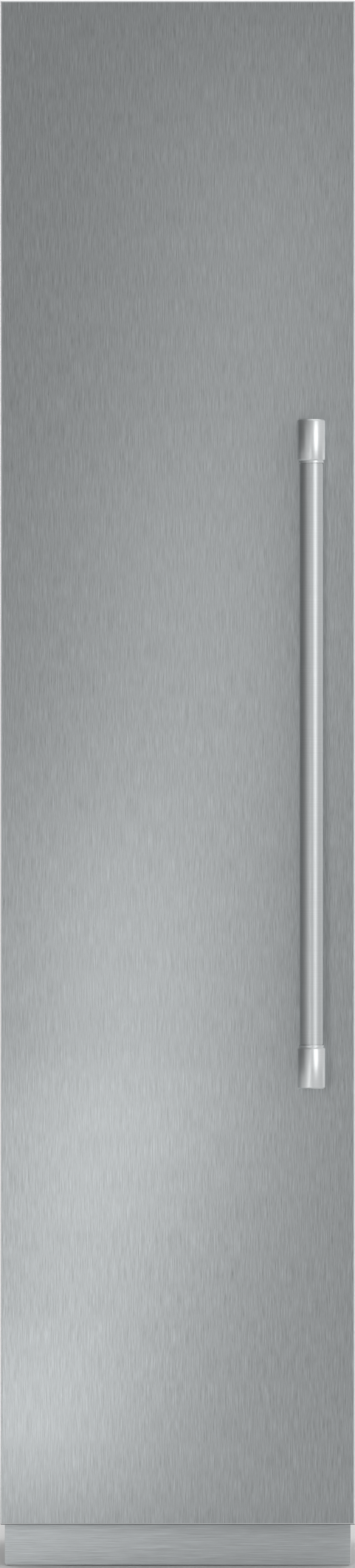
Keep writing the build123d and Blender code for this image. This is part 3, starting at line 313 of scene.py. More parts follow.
finishes = {
    "brushed_stainless": brushed("brushedStainless", **doorSteel),
    "turned_stainless": turnedSteel("turnedStainless", (0.72, 0.745, 0.755), 0.42, 0.05, 0.0013),
    "polished_stainless": turnedSteel("polishedStainless", (0.9, 0.925, 0.935), 0.38, 0.03, 0.0008),
    "galvanised_sheet": spangled("galvanisedSheet", (0.5, 0.52, 0.53), 0.42),
    "frame_grey": paintedSteel("frameGrey", (0.21, 0.225, 0.235), 0.42),
    "foam": expandedFoam("rigidFoam", (0.72, 0.62, 0.38)),
    "liner_steel": brushed("linerSteel", (0.62, 0.635, 0.645), 2, 0.34, 0.1, 0.0012, 0.06),
    "door_plastic": mouldedPlastic("doorPlastic", (0.76, 0.77, 0.77), 0.32),
    "seal_grey": rubber("sealGrey", (0.13, 0.135, 0.14), 0.6),
    "hinge_steel": platedSteel("hingeSteel", (0.36, 0.37, 0.38), 0.34),
    "acetal": mouldedPlastic("acetal", (0.78, 0.78, 0.75), 0.3, 0.0006, 0.00002),
    "zinc": platedSteel("zincPlate", (0.62, 0.62, 0.58), 0.26),
    "clear_plastic": clearPlastic("clearPlastic", (0.93, 0.965, 0.975), 0.06),
    "shelf_glass": clearPlastic("shelfGlass", (0.86, 0.955, 0.93), 0.02, 1.52, (3, 3, 3)),
    "black_enamel": paintedSteel("blackEnamel", (0.012, 0.012, 0.014), 0.3, 0.00008),
    "mount_rubber": rubber("mountRubber", (0.02, 0.02, 0.02), 0.75),
    "fin_aluminium": brushed("finAluminium", (0.7, 0.71, 0.72), 2, 0.3, 0.08, 0.0015, 0.03),
    "copper": platedSteel("copper", (0.66, 0.30, 0.17), 0.28),
    "black_plastic": mouldedPlastic("blackPlastic", (0.018, 0.018, 0.02), 0.45),
    "grey_plastic": mouldedPlastic("greyPlastic", (0.27, 0.28, 0.29), 0.42),
    "white_plastic": mouldedPlastic("whitePlastic", (0.75, 0.75, 0.74), 0.36),
    "lamp": glowing("lampDiffuser", (0.85, 0.86, 0.85), (0.9, 0.96, 1.0), 5.0),
    "panel_black": mouldedPlastic("panelBlack", (0.012, 0.012, 0.014), 0.16, 0.002, 0.00001, 0.4),
    "runner_steel": platedSteel("runnerSteel", (0.55, 0.56, 0.56), 0.28),
}
kickFinish = brushed("toeKickSteel", **kickSteel)
slotOf = {row["node"]: row["material_slot"] for row in frame["record"]["subparts"]}

for node, slot in slotOf.items():
    materials = frame["nodes"][node].data.materials
    materials.clear()
    materials.append(kickFinish if node == "toe_kick" else finishes[slot])
print("finishes made:", len(finishes) + 1)


# Ways to make meshes


def camel(node):
    first, *others = node.split("_")
    return first + "".join(word.capitalize() for word in others)


def boxOf(node):
    # The corners of a CAD node's box, and its middle
    low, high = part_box(node)
    return low, high, [(low[axis] + high[axis]) / 2 for axis in range(3)]


def addFace(bm, corners):
    if len(set(corners)) > 2:
        bm.faces.new(list(dict.fromkeys(corners)))


def joinRings(bm, rings, capped=False):
    # Faces between closed rings of equally many corners
    for near, far in zip(rings, rings[1:]):
        for index in range(len(near)):
            after = (index + 1) % len(near)
            addFace(bm, [near[index], near[after], far[after], far[index]])
    if capped:
        bm.faces.new(rings[0][::-1])
        bm.faces.new(rings[-1])


def joinLines(bm, lines):
    # Faces between open lines of equally many points
    for near, far in zip(lines, lines[1:]):
        for index in range(len(near) - 1):
            addFace(bm, [near[index], near[index + 1], far[index + 1], far[index]])


def spun(bm, profile, centre, axis="Z", steps=72):
    # Turns (radius, height) pairs round an axis through centre. A radius of 0 is a pole
    turn = {
        "X": Matrix.Rotation(math.pi / 2, 3, "Y"),
        "Y": Matrix.Rotation(-math.pi / 2, 3, "X"),
        "Z": Matrix.Identity(3),
    }[axis]
    rings = []
    for radius, height in profile:
        count = steps if radius > 0 else 1
        ring = []
        for index in range(count):
            angle = 2 * math.pi * index / steps
            point = Vector((radius * math.cos(angle), radius * math.sin(angle), height))
            ring.append(bm.verts.new(Vector(centre) + turn @ point))
        rings.append(ring * steps if count == 1 else ring)
    joinRings(bm, rings)


def tubeAlong(bm, points, radius, steps=8, closed=False):
    # A round tube along points, with flat ends unless it closes on itself
    points = [Vector(point) for point in points]
    rings = []
    side = None
    for index, point in enumerate(points):
        if closed:
            way = points[(index + 1) % len(points)] - points[index - 1]
        else:
            way = points[min(index + 1, len(points) - 1)] - points[max(index - 1, 0)]
        way.normalize()
        if side is None:
            side = way.orthogonal().normalized()
        side = (side - way * side.dot(way)).normalized()
        up = way.cross(side)
        turns = [2 * math.pi * step / steps for step in range(steps)]
        rings.append([bm.verts.new(point + (side * math.cos(t) + up * math.sin(t)) * radius) for t in turns])
    joinRings(bm, rings + rings[:1] if closed else rings, not closed)


def arc(centre, radius, start, end, steps, plane=(0, 2)):
    # Points on an arc, in degrees, in the plane of two axes
    points = []
    for step in range(steps + 1):
        angle = math.radians(start + (end - start) * step / steps)
        point = list(centre)
        point[plane[0]] += radius * math.cos(angle)
        point[plane[1]] += radius * math.sin(angle)
        points.append(point)
    return points


def softBlock(bm, low, high, edge=0.001, steps=2):
    # A block with rounded edges
    part = bmesh.new()
    bmesh.ops.create_cube(part, size=1.0)
    low = Vector(low)
    high = Vector(high)
    for vert in part.verts:
        vert.co = Vector((low[i] + (vert.co[i] + 0.5) * (high[i] - low[i])) for i in range(3))
    edge = min(edge, 0.45 * min(high - low))
    bmesh.ops.bevel(part, geom=part.edges[:], offset=edge, segments=steps, profile=0.5, affect="EDGES")
    mesh = bpy.data.meshes.new("part")
    part.to_mesh(mesh)
    part.free()
    bm.from_mesh(mesh)
    bpy.data.meshes.remove(mesh)


def roundedLoop(halfX, halfY, corner, cornerSteps=6, sideSteps=26):
    # Points of a rounded rectangle, evenly counted whatever its size
    corner = max(corner, 0.0002)
    points = []
    for signX, signY, start in ((1, 1, 0), (-1, 1, 90), (-1, -1, 180), (1, -1, 270)):
        middle = (signX * (halfX - corner), signY * (halfY - corner))
        points += arc(middle, corner, start, start + 90, cornerSteps, (0, 1))
    full = []
    for index, point in enumerate(points):
        full.append(point)
        after = points[(index + 1) % len(points)]
        if index % (cornerSteps + 1) == cornerSteps:
            for step in range(1, sideSteps):
                full.append([point[i] + (after[i] - point[i]) * (step / sideSteps) for i in range(2)])
    return full


def loftLoops(bm, centre, loops, shift=None):
    # Joins rounded rectangles given as (halfX, halfY, corner, z), closed at both ends
    rings = []
    for halfX, halfY, corner, z in loops:
        ring = []
        for x, y in roundedLoop(halfX, halfY, corner):
            place = Vector((centre[0] + x, centre[1] + y, z))
            ring.append(bm.verts.new(shift(place) if shift else place))
        rings.append(ring)
    joinRings(bm, rings, True)


def mitredFrame(bm, centre, halfX, halfZ, profile):
    # Carries an (outward, y) outline round a rectangle that stands in X and Z
    rings = []
    for outward, y in profile:
        wide, tall = halfX + outward, halfZ + outward
        corners = ((-wide, -tall), (wide, -tall), (wide, tall), (-wide, tall))
        rings.append([bm.verts.new((centre[0] + x, y, centre[2] + z)) for x, z in corners])
    joinRings(bm, rings + rings[:1])


def linked(name, data):
    obj = bpy.data.objects.new(name, data)
    bpy.context.collection.objects.link(obj)
    return obj


def settle(obj, body, replaced=()):
    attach(obj, body)
    if replaced:
        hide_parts(*replaced)
    return obj


def newPiece(name, bm, slot, body, replaced=(), sharp=32, finish=None):
    # Edges turn sharp above the sharp angle, in degrees, and round the strips that roundedCopy adds
    bmesh.ops.remove_doubles(bm, verts=bm.verts, dist=0.000004)
    bmesh.ops.recalc_face_normals(bm, faces=bm.faces)
    limit = math.radians(sharp)
    for face in bm.faces:
        face.smooth = True
    border = bm.edges.layers.int.get("border")
    for edge in bm.edges:
        soft = len(edge.link_faces) == 2 and edge.calc_face_angle() < limit
        edge.smooth = soft and not (border and edge[border])
    mesh = bpy.data.meshes.new(name)
    bm.to_mesh(mesh)
    bm.free()
    mesh.materials.append(finish or finishes[slot])
    obj = linked(name, mesh)
    return settle(obj, body, replaced) if body else obj


def blockPiece(name, slot, body, *blocks):
    # A piece of soft blocks, each given as softBlock's low, high, edge and steps
    bm = bmesh.new()
    for block in blocks:
        softBlock(bm, *block)
    newPiece(name, bm, slot, body)


class Rule(Graph):
    # A Geometry Nodes tree with named inputs, turned into a plain mesh piece
    def __init__(self, name, **kinds):
        super().__init__(bpy.data.node_groups.new(name, "GeometryNodeTree"))
        for label, kind in (kinds | {"Piece": "Object", "Finish": "Material"}).items():
            self.tree.interface.new_socket(name=label, in_out="INPUT", socket_type="NodeSocket" + kind)
        self.tree.interface.new_socket(name="Geometry", in_out="OUTPUT", socket_type="NodeSocketGeometry")
        self.source = self.tree.nodes.new("NodeGroupInput")
        self.shape = self.add("GeometryNodeObjectInfo", {}, {"Object": self.given("Piece")}, "Geometry")

    def given(self, label):
        return Value(self, self.source.outputs[label])

    def line(self, **inputs):
        return self.add("GeometryNodeMeshLine", {"mode": "OFFSET"}, {k.replace("_", " "): v for k, v in inputs.items()})

    def copies(self, points, turn):
        euler = self.add("FunctionNodeEulerToRotation", {}, {"Euler": turn})
        inputs = {"Points": points, "Instance": self.shape, "Rotation": euler}
        self.end(self.add("GeometryNodeInstanceOnPoints", {}, inputs))

    def end(self, geometry):
        real = self.add("GeometryNodeRealizeInstances", {}, {"Geometry": geometry})
        painted = self.add("GeometryNodeSetMaterial", {}, {"Geometry": real, "Material": self.given("Finish")})
        self.add("NodeGroupOutput", {}, {"Geometry": painted})

    def make(self, name, slot, body, replaced=(), **values):
        values["Finish"] = finishes[slot]
        holder = linked(name + "Rule", bpy.data.meshes.new(name + "Rule"))
        modifier = holder.modifiers.new("rule", "NODES")
        modifier.node_group = self.tree
        for item in self.tree.interface.items_tree:
            if item.in_out == "INPUT":
                modifier[item.identifier] = values[item.name]
        bpy.context.view_layer.update()
        made = holder.evaluated_get(bpy.context.evaluated_depsgraph_get())
        mesh = bpy.data.meshes.new_from_object(made)
        bpy.data.objects.remove(holder)
        bpy.data.objects.remove(values["Piece"])
        mesh.name = name
        settle(linked(name, mesh), body, replaced)


def makeRowsRule():
    # Copies of one piece in rows and columns: screws, louvres, fins, vents
    rule = Rule("rows", Start="Vector", Step="Vector", Count="Int", RowStep="Vector", Rows="Int", Turn="Vector")
    line = rule.line(Count=rule.given("Count"), Start_Location=rule.given("Start"), Offset=rule.given("Step"))
    column = rule.line(Count=rule.given("Rows"), Offset=rule.given("RowStep"))
    lines = rule.add("GeometryNodeInstanceOnPoints", {}, {"Points": column, "Instance": line})
    rule.copies(rule.add("GeometryNodeRealizeInstances", {}, {"Geometry": lines}), rule.given("Turn"))
    return rule


def makeRingRule():
    # Copies of one piece turned round a Y axis through a centre: fan blades
    rule = Rule("ring", Centre="Vector", Count="Int", FirstTurn="Float")
    points = rule.line(Count=rule.given("Count"), Start_Location=rule.given("Centre"), Offset=(0, 0, 0))
    angle = rule.add("GeometryNodeInputIndex") * (2 * math.pi) / rule.given("Count") + rule.given("FirstTurn")
    rule.copies(points, rule.add("ShaderNodeCombineXYZ", {}, {"Y": angle}))
    return rule


def makeSweepRule():
    # A round tube along a path of joined points
    rule = Rule("sweep", Radius="Float", Sides="Int")
    path = rule.add("GeometryNodeMeshToCurve", {}, {"Mesh": rule.shape})
    inputs = {"Resolution": rule.given("Sides"), "Radius": rule.given("Radius")}
    section = rule.add("GeometryNodeCurvePrimitiveCircle", {}, inputs)
    inputs = {"Curve": path, "Profile Curve": section, "Fill Caps": True}
    tube = rule.add("GeometryNodeCurveToMesh", {}, inputs)
    rule.end(rule.add("GeometryNodeSetShadeSmooth", {}, {"Geometry": tube}))
    return rule


rows = makeRowsRule()
ring = makeRingRule()
sweep = makeSweepRule()


def inRows(name, slot, piece, start, step, count, turn=(0, 0, 0), rowStep=(0, 0, 0), rowCount=1, replaced=()):
    values = {"Piece": piece, "Start": start, "Step": step, "Count": count, "RowStep": rowStep, "Rows": rowCount}
    rows.make(name, slot, "cabinet", replaced, **values, Turn=turn)


def swept(name, slot, runs, radius, sides):
    # A tube along each run of joined points. A run that ends where it began is closed
    points, edges = [], []
    for run in runs:
        first = len(points)
        closed = (Vector(run[0]) - Vector(run[-1])).length < 0.00001
        kept = run[:-1] if closed else run
        points += [tuple(point) for point in kept]
        edges += [(first + index, first + index + 1) for index in range(len(kept) - 1)]
        if closed:
            edges.append((first + len(kept) - 1, first))
    mesh = bpy.data.meshes.new(name + "Path")
    mesh.from_pydata(points, edges, [])
    sweep.make(name, slot, "cabinet", Piece=linked(name + "Path", mesh), Radius=radius, Sides=sides)


def threaded(level, top, root, crest, pitch):
    # The (radius, height) pairs of a thread that starts at level and ends at its root, past top
    profile = []
    while level < top:
        profile += [(root, level), (crest, level + pitch / 2)]
        level += pitch
    return profile + [(root, level)]


def screwHead(name, radius, height, recess=0.5, sides=6):
    # A domed head with a socket, sitting on the plane z = 0, with a short shank below
    bm = bmesh.new()
    lip = radius * 0.12
    inner = radius * recess
    profile = [
        (0, -height * 0.8),
        (radius * 0.45, -height * 0.8),
        (radius * 0.45, 0),
        (radius, 0),
        (radius, height * 0.35),
        (radius - lip, height * 0.72),
        (radius - lip * 3, height * 0.95),
        (inner * 1.08, height),
    ]
    spun(bm, profile, (0, 0, 0), "Z", 24)
    rim = [vert for vert in bm.verts if vert.co.z > height * 0.999]
    rim.sort(key=lambda vert: math.atan2(vert.co.y, vert.co.x))
    sink = []
    for vert in rim:
        angle = math.atan2(vert.co.y, vert.co.x)
        wedge = 2 * math.pi / sides
        reach = math.cos(wedge / 2) / math.cos((angle % wedge) - wedge / 2)
        sink.append(bm.verts.new((inner * reach * math.cos(angle), inner * reach * math.sin(angle), height * 0.95)))
    floor = [bm.verts.new((vert.co.x, vert.co.y, height * 0.3)) for vert in sink]
    joinRings(bm, [rim, sink, floor])
    bm.faces.new(floor)
    return newPiece(name, bm, "zinc", None)


# Door furniture

handleCap = {
    "chamfer": 0.0018,
    "footChamfer": 0.0015,
    "ring": 0.0021,
    "ringStep": 0.00165,
    "groove": 0.0008,
    "grooveDepth": 0.0023,
    "ease": 0.0003,
}
gasket = {
    "width": 0.014,
    "baseInset": 0.0015,
    "foldDeep": 0.0027,
    "foldShallow": 0.0004,
    "foldShares": (0.12, 0.28, 0.36, 0.48, 0.56, 0.64, 0.94),
    "cornerEase": 0.0005,
}


def makeHandleCaps():
    # Turned caps: a chamfered outer end and, towards the bar, a groove and a raised ring
    chamfer, ease, step = handleCap["chamfer"], handleCap["ease"], handleCap["ringStep"]
    footChamfer = handleCap["footChamfer"]
    for node, name, up in (("upper_handle_cap", "capUpper", 1), ("lower_handle_cap", "capLower", -1)):
        low, high, (x, y, _) = boxOf(node)
        radius = (high.x - low.x) / 2
        length = high.z - low.z
        ringFoot = length - handleCap["ring"]
        neck = ringFoot - handleCap["groove"]
        hollow = radius - handleCap["grooveDepth"]
        profile = [
            (0, 0),
            (radius - chamfer - ease, 0),
            (radius - chamfer, ease / 2),
            (radius - ease / 2, chamfer),
            (radius, chamfer + ease),
            (radius, neck - footChamfer - ease),
            (radius - ease / 2, neck - footChamfer),
            (radius - footChamfer - ease / 2, neck),
            (hollow, neck),
            (hollow, ringFoot),
            (radius - step - ease, ringFoot),
            (radius - step, ringFoot + ease),
            (radius - step, length - ease),
            (radius - step - ease, length),
            (0, length),
        ]
        bm = bmesh.new()
        spun(bm, [(reach, -up * along) for reach, along in profile], (x, y, high.z if up > 0 else low.z))
        newPiece(name, bm, "polished_stainless", "door", (node,))


def makeGasket():
    # A bellows seal: its base in the door, two folds, and the magnet pocket that meets the cabinet
    low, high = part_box("door_gasket")
    deep = high.y - low.y
    folds, shallow = gasket["foldDeep"], gasket["foldShallow"]
    insets = (folds, shallow, shallow, folds, folds, 0, 0)
    half = [(gasket["baseInset"], 0.0), *zip(insets, gasket["foldShares"]), (gasket["cornerEase"], 1.0)]
    outer = [(-inset, low.y + share * deep) for inset, share in half]
    inner = [(inset - gasket["width"], low.y + share * deep) for inset, share in reversed(half)]
    bm = bmesh.new()
    middle = (low + high) / 2
    mitredFrame(bm, middle, high.x - middle.x, high.z - middle.z, outer + inner)
    newPiece("gasket", bm, "seal_grey", "door", ("door_gasket",))


def roundedCopy(node, body, edge, steps=2, finish=None):
    # A merged copy of a CAD node whose corners are rounded
    bm = bmesh.new()
    bm.from_mesh(frame["nodes"][node].data)
    border = bm.edges.layers.int.new("border")
    bmesh.ops.remove_doubles(bm, verts=bm.verts, dist=0.00001)
    bmesh.ops.recalc_face_normals(bm, faces=bm.faces)
    flat, corner = math.radians(1), math.radians(40)
    bmesh.ops.dissolve_limit(bm, angle_limit=flat, verts=bm.verts, edges=bm.edges)
    found = [line for line in bm.edges if len(line.link_faces) == 2 and line.calc_face_angle() > corner]
    options = {"segments": steps, "profile": 0.5, "affect": "EDGES", "clamp_overlap": True}
    rounded = set(bmesh.ops.bevel(bm, geom=found, offset=edge, **options)["faces"])
    for line in bm.edges:
        line[border] = len({face in rounded for face in line.link_faces}) == 2
    newPiece(camel(node), bm, slotOf[node], body, (node,), finish=finish)


makeHandleCaps()
makeGasket()
roundedCopy("door_liner", "door", 0.0012)
roundedCopy("pivot_brackets", "door", 0.0006)
roundedCopy("toe_kick", "cabinet", 0.0009, 4, kickFinish)
print("door furniture made")


# Moulded bins, drawers and trays

mould = {
    "floorRound": 0.009,
    "roundSteps": 4,
    "rimHeight": 0.007,
    "rimOut": 0.0016,
    "ease": 0.0008,
    "underStep": 0.0006,
}
doorBin = {"wall": 0.0025, "corner": 0.014, "draft": 0.003}
binTrim = {"height": 0.011, "proud": 0.0012, "front": 0.0045, "back": 0.0001}
wing = {"width": 0.0066, "length": 0.034, "height": 0.026, "base": 0.03}
drawer = {"wall": 0.003, "corner": 0.02, "draft": 0.004}
grip = {"half": 0.062, "depth": 0.02, "reach": 0.03, "blend": 0.02}
drawerRail = {"width": 0.0065, "overlap": 0.001, "height": 0.011, "setBack": 0.02}
drawerTrim = {"gap": 0.02, "end": 0.022, "front": 0.0002, "back": 0.0052, "height": 0.012, "proud": 0.0008}
tray = {"wall": 0.0022, "corner": 0.012, "draft": 0.002}


def mouldedTub(bm, low, high, wall, corner, draft, shift=None):
    # An open box: drafted walls, rounded floor edge and corners, and a thicker rim
    middle = (low + high) / 2
    halfX, halfY = high.x - middle.x, high.y - middle.y
    rounding, steps, ease = mould["floorRound"], mould["roundSteps"], mould["ease"]
    out, rimFoot = mould["rimOut"], high.z - mould["rimHeight"]
    rise = rimFoot - low.z
    loops = []
    for step in range(steps + 1):
        turn = math.pi / 2 * step / steps
        inset = draft + out + rounding * (1 - math.sin(turn))
        level = rounding * (1 - math.cos(turn))
        inset -= draft * level / rise
        loops.append((halfX - inset, halfY - inset, corner - inset, low.z + level))
    loops += [
        (halfX - out, halfY - out, corner - out, rimFoot - mould["underStep"]),
        (halfX - ease / 2, halfY - ease / 2, corner, rimFoot),
        (halfX, halfY, corner, rimFoot + ease),
        (halfX, halfY, corner, high.z - ease),
        (halfX - ease, halfY - ease, corner - ease, high.z),
        (halfX - out - wall + ease, halfY - out - wall + ease, corner - wall, high.z),
        (halfX - out - wall, halfY - out - wall, corner - wall - ease, high.z - ease),
    ]
    for step in range(steps, -1, -1):
        turn = math.pi / 2 * step / steps
        level = rounding * (1 - math.cos(turn))
        inset = draft * (1 - level / rise) + out + wall + rounding * (1 - math.sin(turn))
        loops.append((halfX - inset, halfY - inset, corner - inset, low.z + wall + level))
    loftLoops(bm, middle, loops, shift)


def gripDip(low, high):
    # Lowers the rim along the middle of the front wall, with soft shoulders
    half, depth, reach, blend = grip["half"], grip["depth"], grip["reach"], grip["blend"]

    def shift(point):
        nearFront = max(0.0, min(1.0, (low.y + reach - point.y) / (reach * 0.4)))
        along = max(0.0, min(1.0, (half + blend - abs(point.x - (low.x + high.x) / 2)) / blend))
        soft = along * along * (3 - 2 * along) * nearFront
        share = max(0.0, (point.z - (high.z - depth * 2.2)) / (depth * 2.2))
        return point - Vector((0, 0, depth * soft * share))

    return shift


def sidePairs(low, high, width):
    # The spans in X of two strips that reach inward from the sides of a box
    return sorted((low.x, low.x + width)), sorted((high.x, high.x - width))


def makeDoorBins():
    for body in ("low_bin", "middle_bin", "high_bin"):
        node = body.replace("_bin", "_door_bin")
        low, high, (_, y, _) = boxOf(node)
        side = Vector((wing["width"], 0, 0))
        bm = bmesh.new()
        mouldedTub(bm, low + side, high - side, **doorBin)
        foot = low.z + wing["base"]
        for near, far in sidePairs(low, high, wing["width"] + doorBin["wall"]):
            last = (far, y + wing["length"] / 2, foot + wing["height"])
            softBlock(bm, (near, y - wing["length"] / 2, foot), last, 0.0015, 3)
        newPiece(camel(body), bm, "clear_plastic", body, (node,))
        # A white trim along the rim that faces the user
        inset = doorBin["corner"]
        first = (low.x + side.x + inset, high.y - binTrim["front"], high.z - binTrim["height"])
        last = (high.x - side.x - inset, high.y - binTrim["back"], high.z + binTrim["proud"])
        blockPiece(camel(body) + "Trim", "white_plastic", body, (first, last, 0.0018, 3))


def makeDrawers():
    for node, runners in (("lower_drawer", "lower_runners"), ("upper_drawer", "upper_runners")):
        name = camel(node)
        low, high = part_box(node)
        side = Vector((drawerRail["width"], 0, 0))
        inLow, inHigh = low + side, high - side
        bm = bmesh.new()
        mouldedTub(bm, inLow, inHigh, **drawer, shift=gripDip(inLow, inHigh))
        newPiece(name + "Tub", bm, "clear_plastic", node, (node,))
        # The inner rails of its runners, and a bead on each side of the grip
        slideLow, slideHigh, (_, _, level) = boxOf(runners)
        half = drawerRail["height"] / 2
        start = low.y + drawerRail["setBack"]
        end = start + (slideHigh.y - slideLow.y)
        spans = sidePairs(low, high, side.x + drawerRail["overlap"])
        rails = [((near, start, level - half), (far, end, level + half), 0.0012, 3) for near, far in spans]
        blockPiece(name + "Rails", "runner_steel", node, *rails)
        reach = grip["half"] + drawerTrim["gap"]
        front, back = inLow.y + drawerTrim["front"], inLow.y + drawerTrim["back"]
        foot, top = inHigh.z - drawerTrim["height"], inHigh.z + drawerTrim["proud"]
        spans = ((inLow.x + drawerTrim["end"], -reach), (reach, inHigh.x - drawerTrim["end"]))
        beads = [((near, front, foot), (far, back, top), 0.0016, 3) for near, far in spans]
        blockPiece(name + "Trim", "white_plastic", node, *beads)


def makeTubs():
    for node, body, shape, dip in (("ice_bin", "ice_bin", drawer, True), ("drip_tray", "cabinet", tray, False)):
        low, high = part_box(node)
        bm = bmesh.new()
        mouldedTub(bm, low, high, **shape, shift=gripDip(low, high) if dip else None)
        newPiece(camel(node), bm, slotOf[node], body, (node,))


makeDoorBins()
makeDrawers()
makeTubs()
print("bins, drawers and trays made")


# Screws, louvres and seams of the cabinet

caseBack = 0.315  # the rear face of the case, in Y
hingeScrew = {"radius": 0.0046, "height": 0.0026}
caseScrew = {"radius": 0.0036, "height": 0.0019}
frameScrew = {"radius": 0.003, "height": 0.0012}
screwInset = {"rear": 0.012, "front": 0.02, "top": 0.05, "cover": 0.016, "frame": 0.012, "frameEnd": 0.1}
cover = {"low": 0.082, "high": 0.24}
louvre = {"width": 0.052, "height": 0.012, "proud": 0.0045, "root": 0.0004, "thick": 0.0006, "across": 10, "down": 5}
louvres = {"columns": 3, "rows": 6, "spacing": 0.066, "pitch": 0.022, "middle": 0.161}
seam = {"width": 0.016, "proud": 0.0011, "sunk": 0.0005, "front": 0.001, "rear": 0.0005, "inset": 0.006, "edge": 0.0008}
topPlug = {"radius": 0.012, "height": 0.0028, "root": -0.001, "place": 0.14}


def screwRows(name, size, *places, **options):
    inRows(name, "zinc", screwHead(name + "Head", **size), *places, **options)


def makeHingeScrews():
    low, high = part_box("hinge_screws")
    radius, height = hingeScrew["radius"], hingeScrew["height"]
    step, rowStep = (high.x - low.x - 2 * radius, 0, 0), (0, high.y - low.y - 2 * radius, 0)
    top = ("hingeScrewsTop", high.z - height, 0.0, ("hinge_screws",))
    for name, level, turn, replaced in (top, ("hingeScrewsBase", low.z + height, math.pi, ())):
        start = (low.x + radius, low.y + radius, level)
        screwRows(name, hingeScrew, start, step, 2, (turn, 0, 0), rowStep, 2, replaced)


def makeCaseScrews():
    low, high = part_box("outer_case")
    side, rise, quarter = high.x, high.z - low.z, math.pi / 2
    start = low.z + rise * 0.05
    step = (0, 0, rise * 0.9 / 6)
    rear, front = high.y - screwInset["rear"], low.y + screwInset["front"]
    for name, x, turn in (("sideScrewsRight", side, quarter), ("sideScrewsLeft", -side, -quarter)):
        screwRows(name + "Rear", caseScrew, (x, rear, start), step, 7, (0, turn, 0))
        screwRows(name + "Front", caseScrew, (x, front, start), step, 4, (0, turn, 0))
    across = side - screwInset["top"]
    screwRows("topScrewsRear", caseScrew, (-across, rear, high.z), (across / 2, 0, 0), 5)
    across = side - screwInset["cover"]
    start, rowStep = (-across, caseBack, cover["low"]), (0, 0, cover["high"] - cover["low"])
    screwRows("coverScrews", caseScrew, start, (across / 2, 0, 0), 5, (-quarter, 0, 0), rowStep, 2)
    low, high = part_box("face_frame")
    inset, end = screwInset["frame"], screwInset["frameEnd"]
    start, step = (low.x + inset, low.y, low.z + end), (high.x - low.x - 2 * inset, 0, 0)
    rowStep = (0, 0, (high.z - low.z - 2 * end) / 4)
    screwRows("frameScrews", frameScrew, start, step, 2, (quarter, 0, 0), rowStep, 5)


def louvrePiece():
    # A pressed scoop, highest at its lower lip, where it opens
    bm = bmesh.new()
    lines = []
    for row in range(louvre["down"] + 1):
        share = row / louvre["down"]
        line = []
        for column in range(louvre["across"] + 1):
            place = column / louvre["across"]
            swell = math.sin(math.pi * place) ** 0.5 * math.sin(math.pi / 2 * share)
            x, y = (place - 0.5) * louvre["width"], louvre["proud"] * swell - louvre["root"]
            line.append(bm.verts.new((x, y, (0.5 - share) * louvre["height"])))
        lines.append(line)
    joinLines(bm, lines)
    bmesh.ops.recalc_face_normals(bm, faces=bm.faces)
    bmesh.ops.solidify(bm, geom=bm.faces[:], thickness=louvre["thick"])
    return newPiece("louvre", bm, "galvanised_sheet", None)


def makeLouvres():
    columns, count, spacing, pitch = (louvres[key] for key in ("columns", "rows", "spacing", "pitch"))
    start = (-spacing * (columns - 1) / 2, caseBack, louvres["middle"] - pitch * (count - 1) / 2)
    step, rowStep = (spacing, 0, 0), (0, 0, pitch)
    inRows("louvres", "galvanised_sheet", louvrePiece(), start, step, columns, rowStep=rowStep, rowCount=count)


def makeSeams():
    # Folded seams down the sides, and the plug over the foam's filling hole
    low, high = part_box("outer_case")
    seams = []
    for sign in (-1, 1):
        near, far = sorted((sign * (high.x - seam["sunk"]), sign * (high.x + seam["proud"])))
        for start in (low.y + seam["front"], high.y - seam["width"] - seam["rear"]):
            last = (far, start + seam["width"], high.z - seam["inset"])
            seams.append(((near, start, low.z + seam["inset"]), last, seam["edge"], 2))
    blockPiece("caseSeams", "galvanised_sheet", "cabinet", *seams)
    bm = bmesh.new()
    radius, height, root = topPlug["radius"], topPlug["height"], topPlug["root"]
    profile = [(0, root), (radius, root), (radius, height * 0.4), (radius * 0.93, height * 0.8)]
    profile += [(radius * 0.8, height), (radius * 0.45, height), (radius * 0.4, height * 0.6), (0, height * 0.6)]
    spun(bm, profile, (topPlug["place"], topPlug["place"], high.z), "Z", 40)
    newPiece("foamPlug", bm, "black_plastic", "cabinet")


makeHingeScrews()
makeCaseScrews()
makeLouvres()
makeSeams()
roundedCopy("upper_hinge", "cabinet", 0.0006)
roundedCopy("lower_hinge", "cabinet", 0.0006)
print("case fittings made")


# Coils, fans and the machine compartment

coil = {"tube": 0.004, "rowPitch": 0.026, "overhang": 0.002, "riserCorner": 0.008}
fin = {"thick": 0.0006, "ripple": 0.0006, "waves": 3, "steps": 18}
rotor = {
    "axle": 0.05,
    "firstTurn": 0.2,
    "tip": 0.0492,
    "hub": 0.015,
    "hubLength": 0.014,
    "shaft": 0.003,
    "blades": 7,
    "spread": 0.34,
    "sweep": 0.32,
    "rise": 0.0125,
    "camber": 0.0016,
    "thick": 0.0013,
    "radial": 10,
    "chord": 8,
}
guard = {"wire": 0.0011, "gap": 0.0012, "rings": (0.014, 0.023, 0.032, 0.041, 0.0505), "spokes": 8}
condenserAxis = 0.129  # the height that the condenser fan's guard is centred on
terminal = (
    {"half": 0.021, "front": 0.013, "back": -0.012, "foot": 0.03, "top": 0.078, "edge": 0.005, "steps": 4},
    {"half": 0.016, "front": 0.0148, "back": 0.012, "foot": 0.036, "top": 0.072, "edge": 0.001, "steps": 2},
)
stub = {"side": 0.045, "start": -0.026, "bend": 0.012, "bendFoot": -0.003, "end": 0.03, "top": 0.009, "radius": 0.003}
mountBolt = [(0, -0.001), (0.007, -0.001), (0.007, 0.0004), (0.0066, 0.0012), (0.0038, 0.0012)]
mountBolt += [(0.0038, 0.0046), (0.0032, 0.0052), (0, 0.0052)]


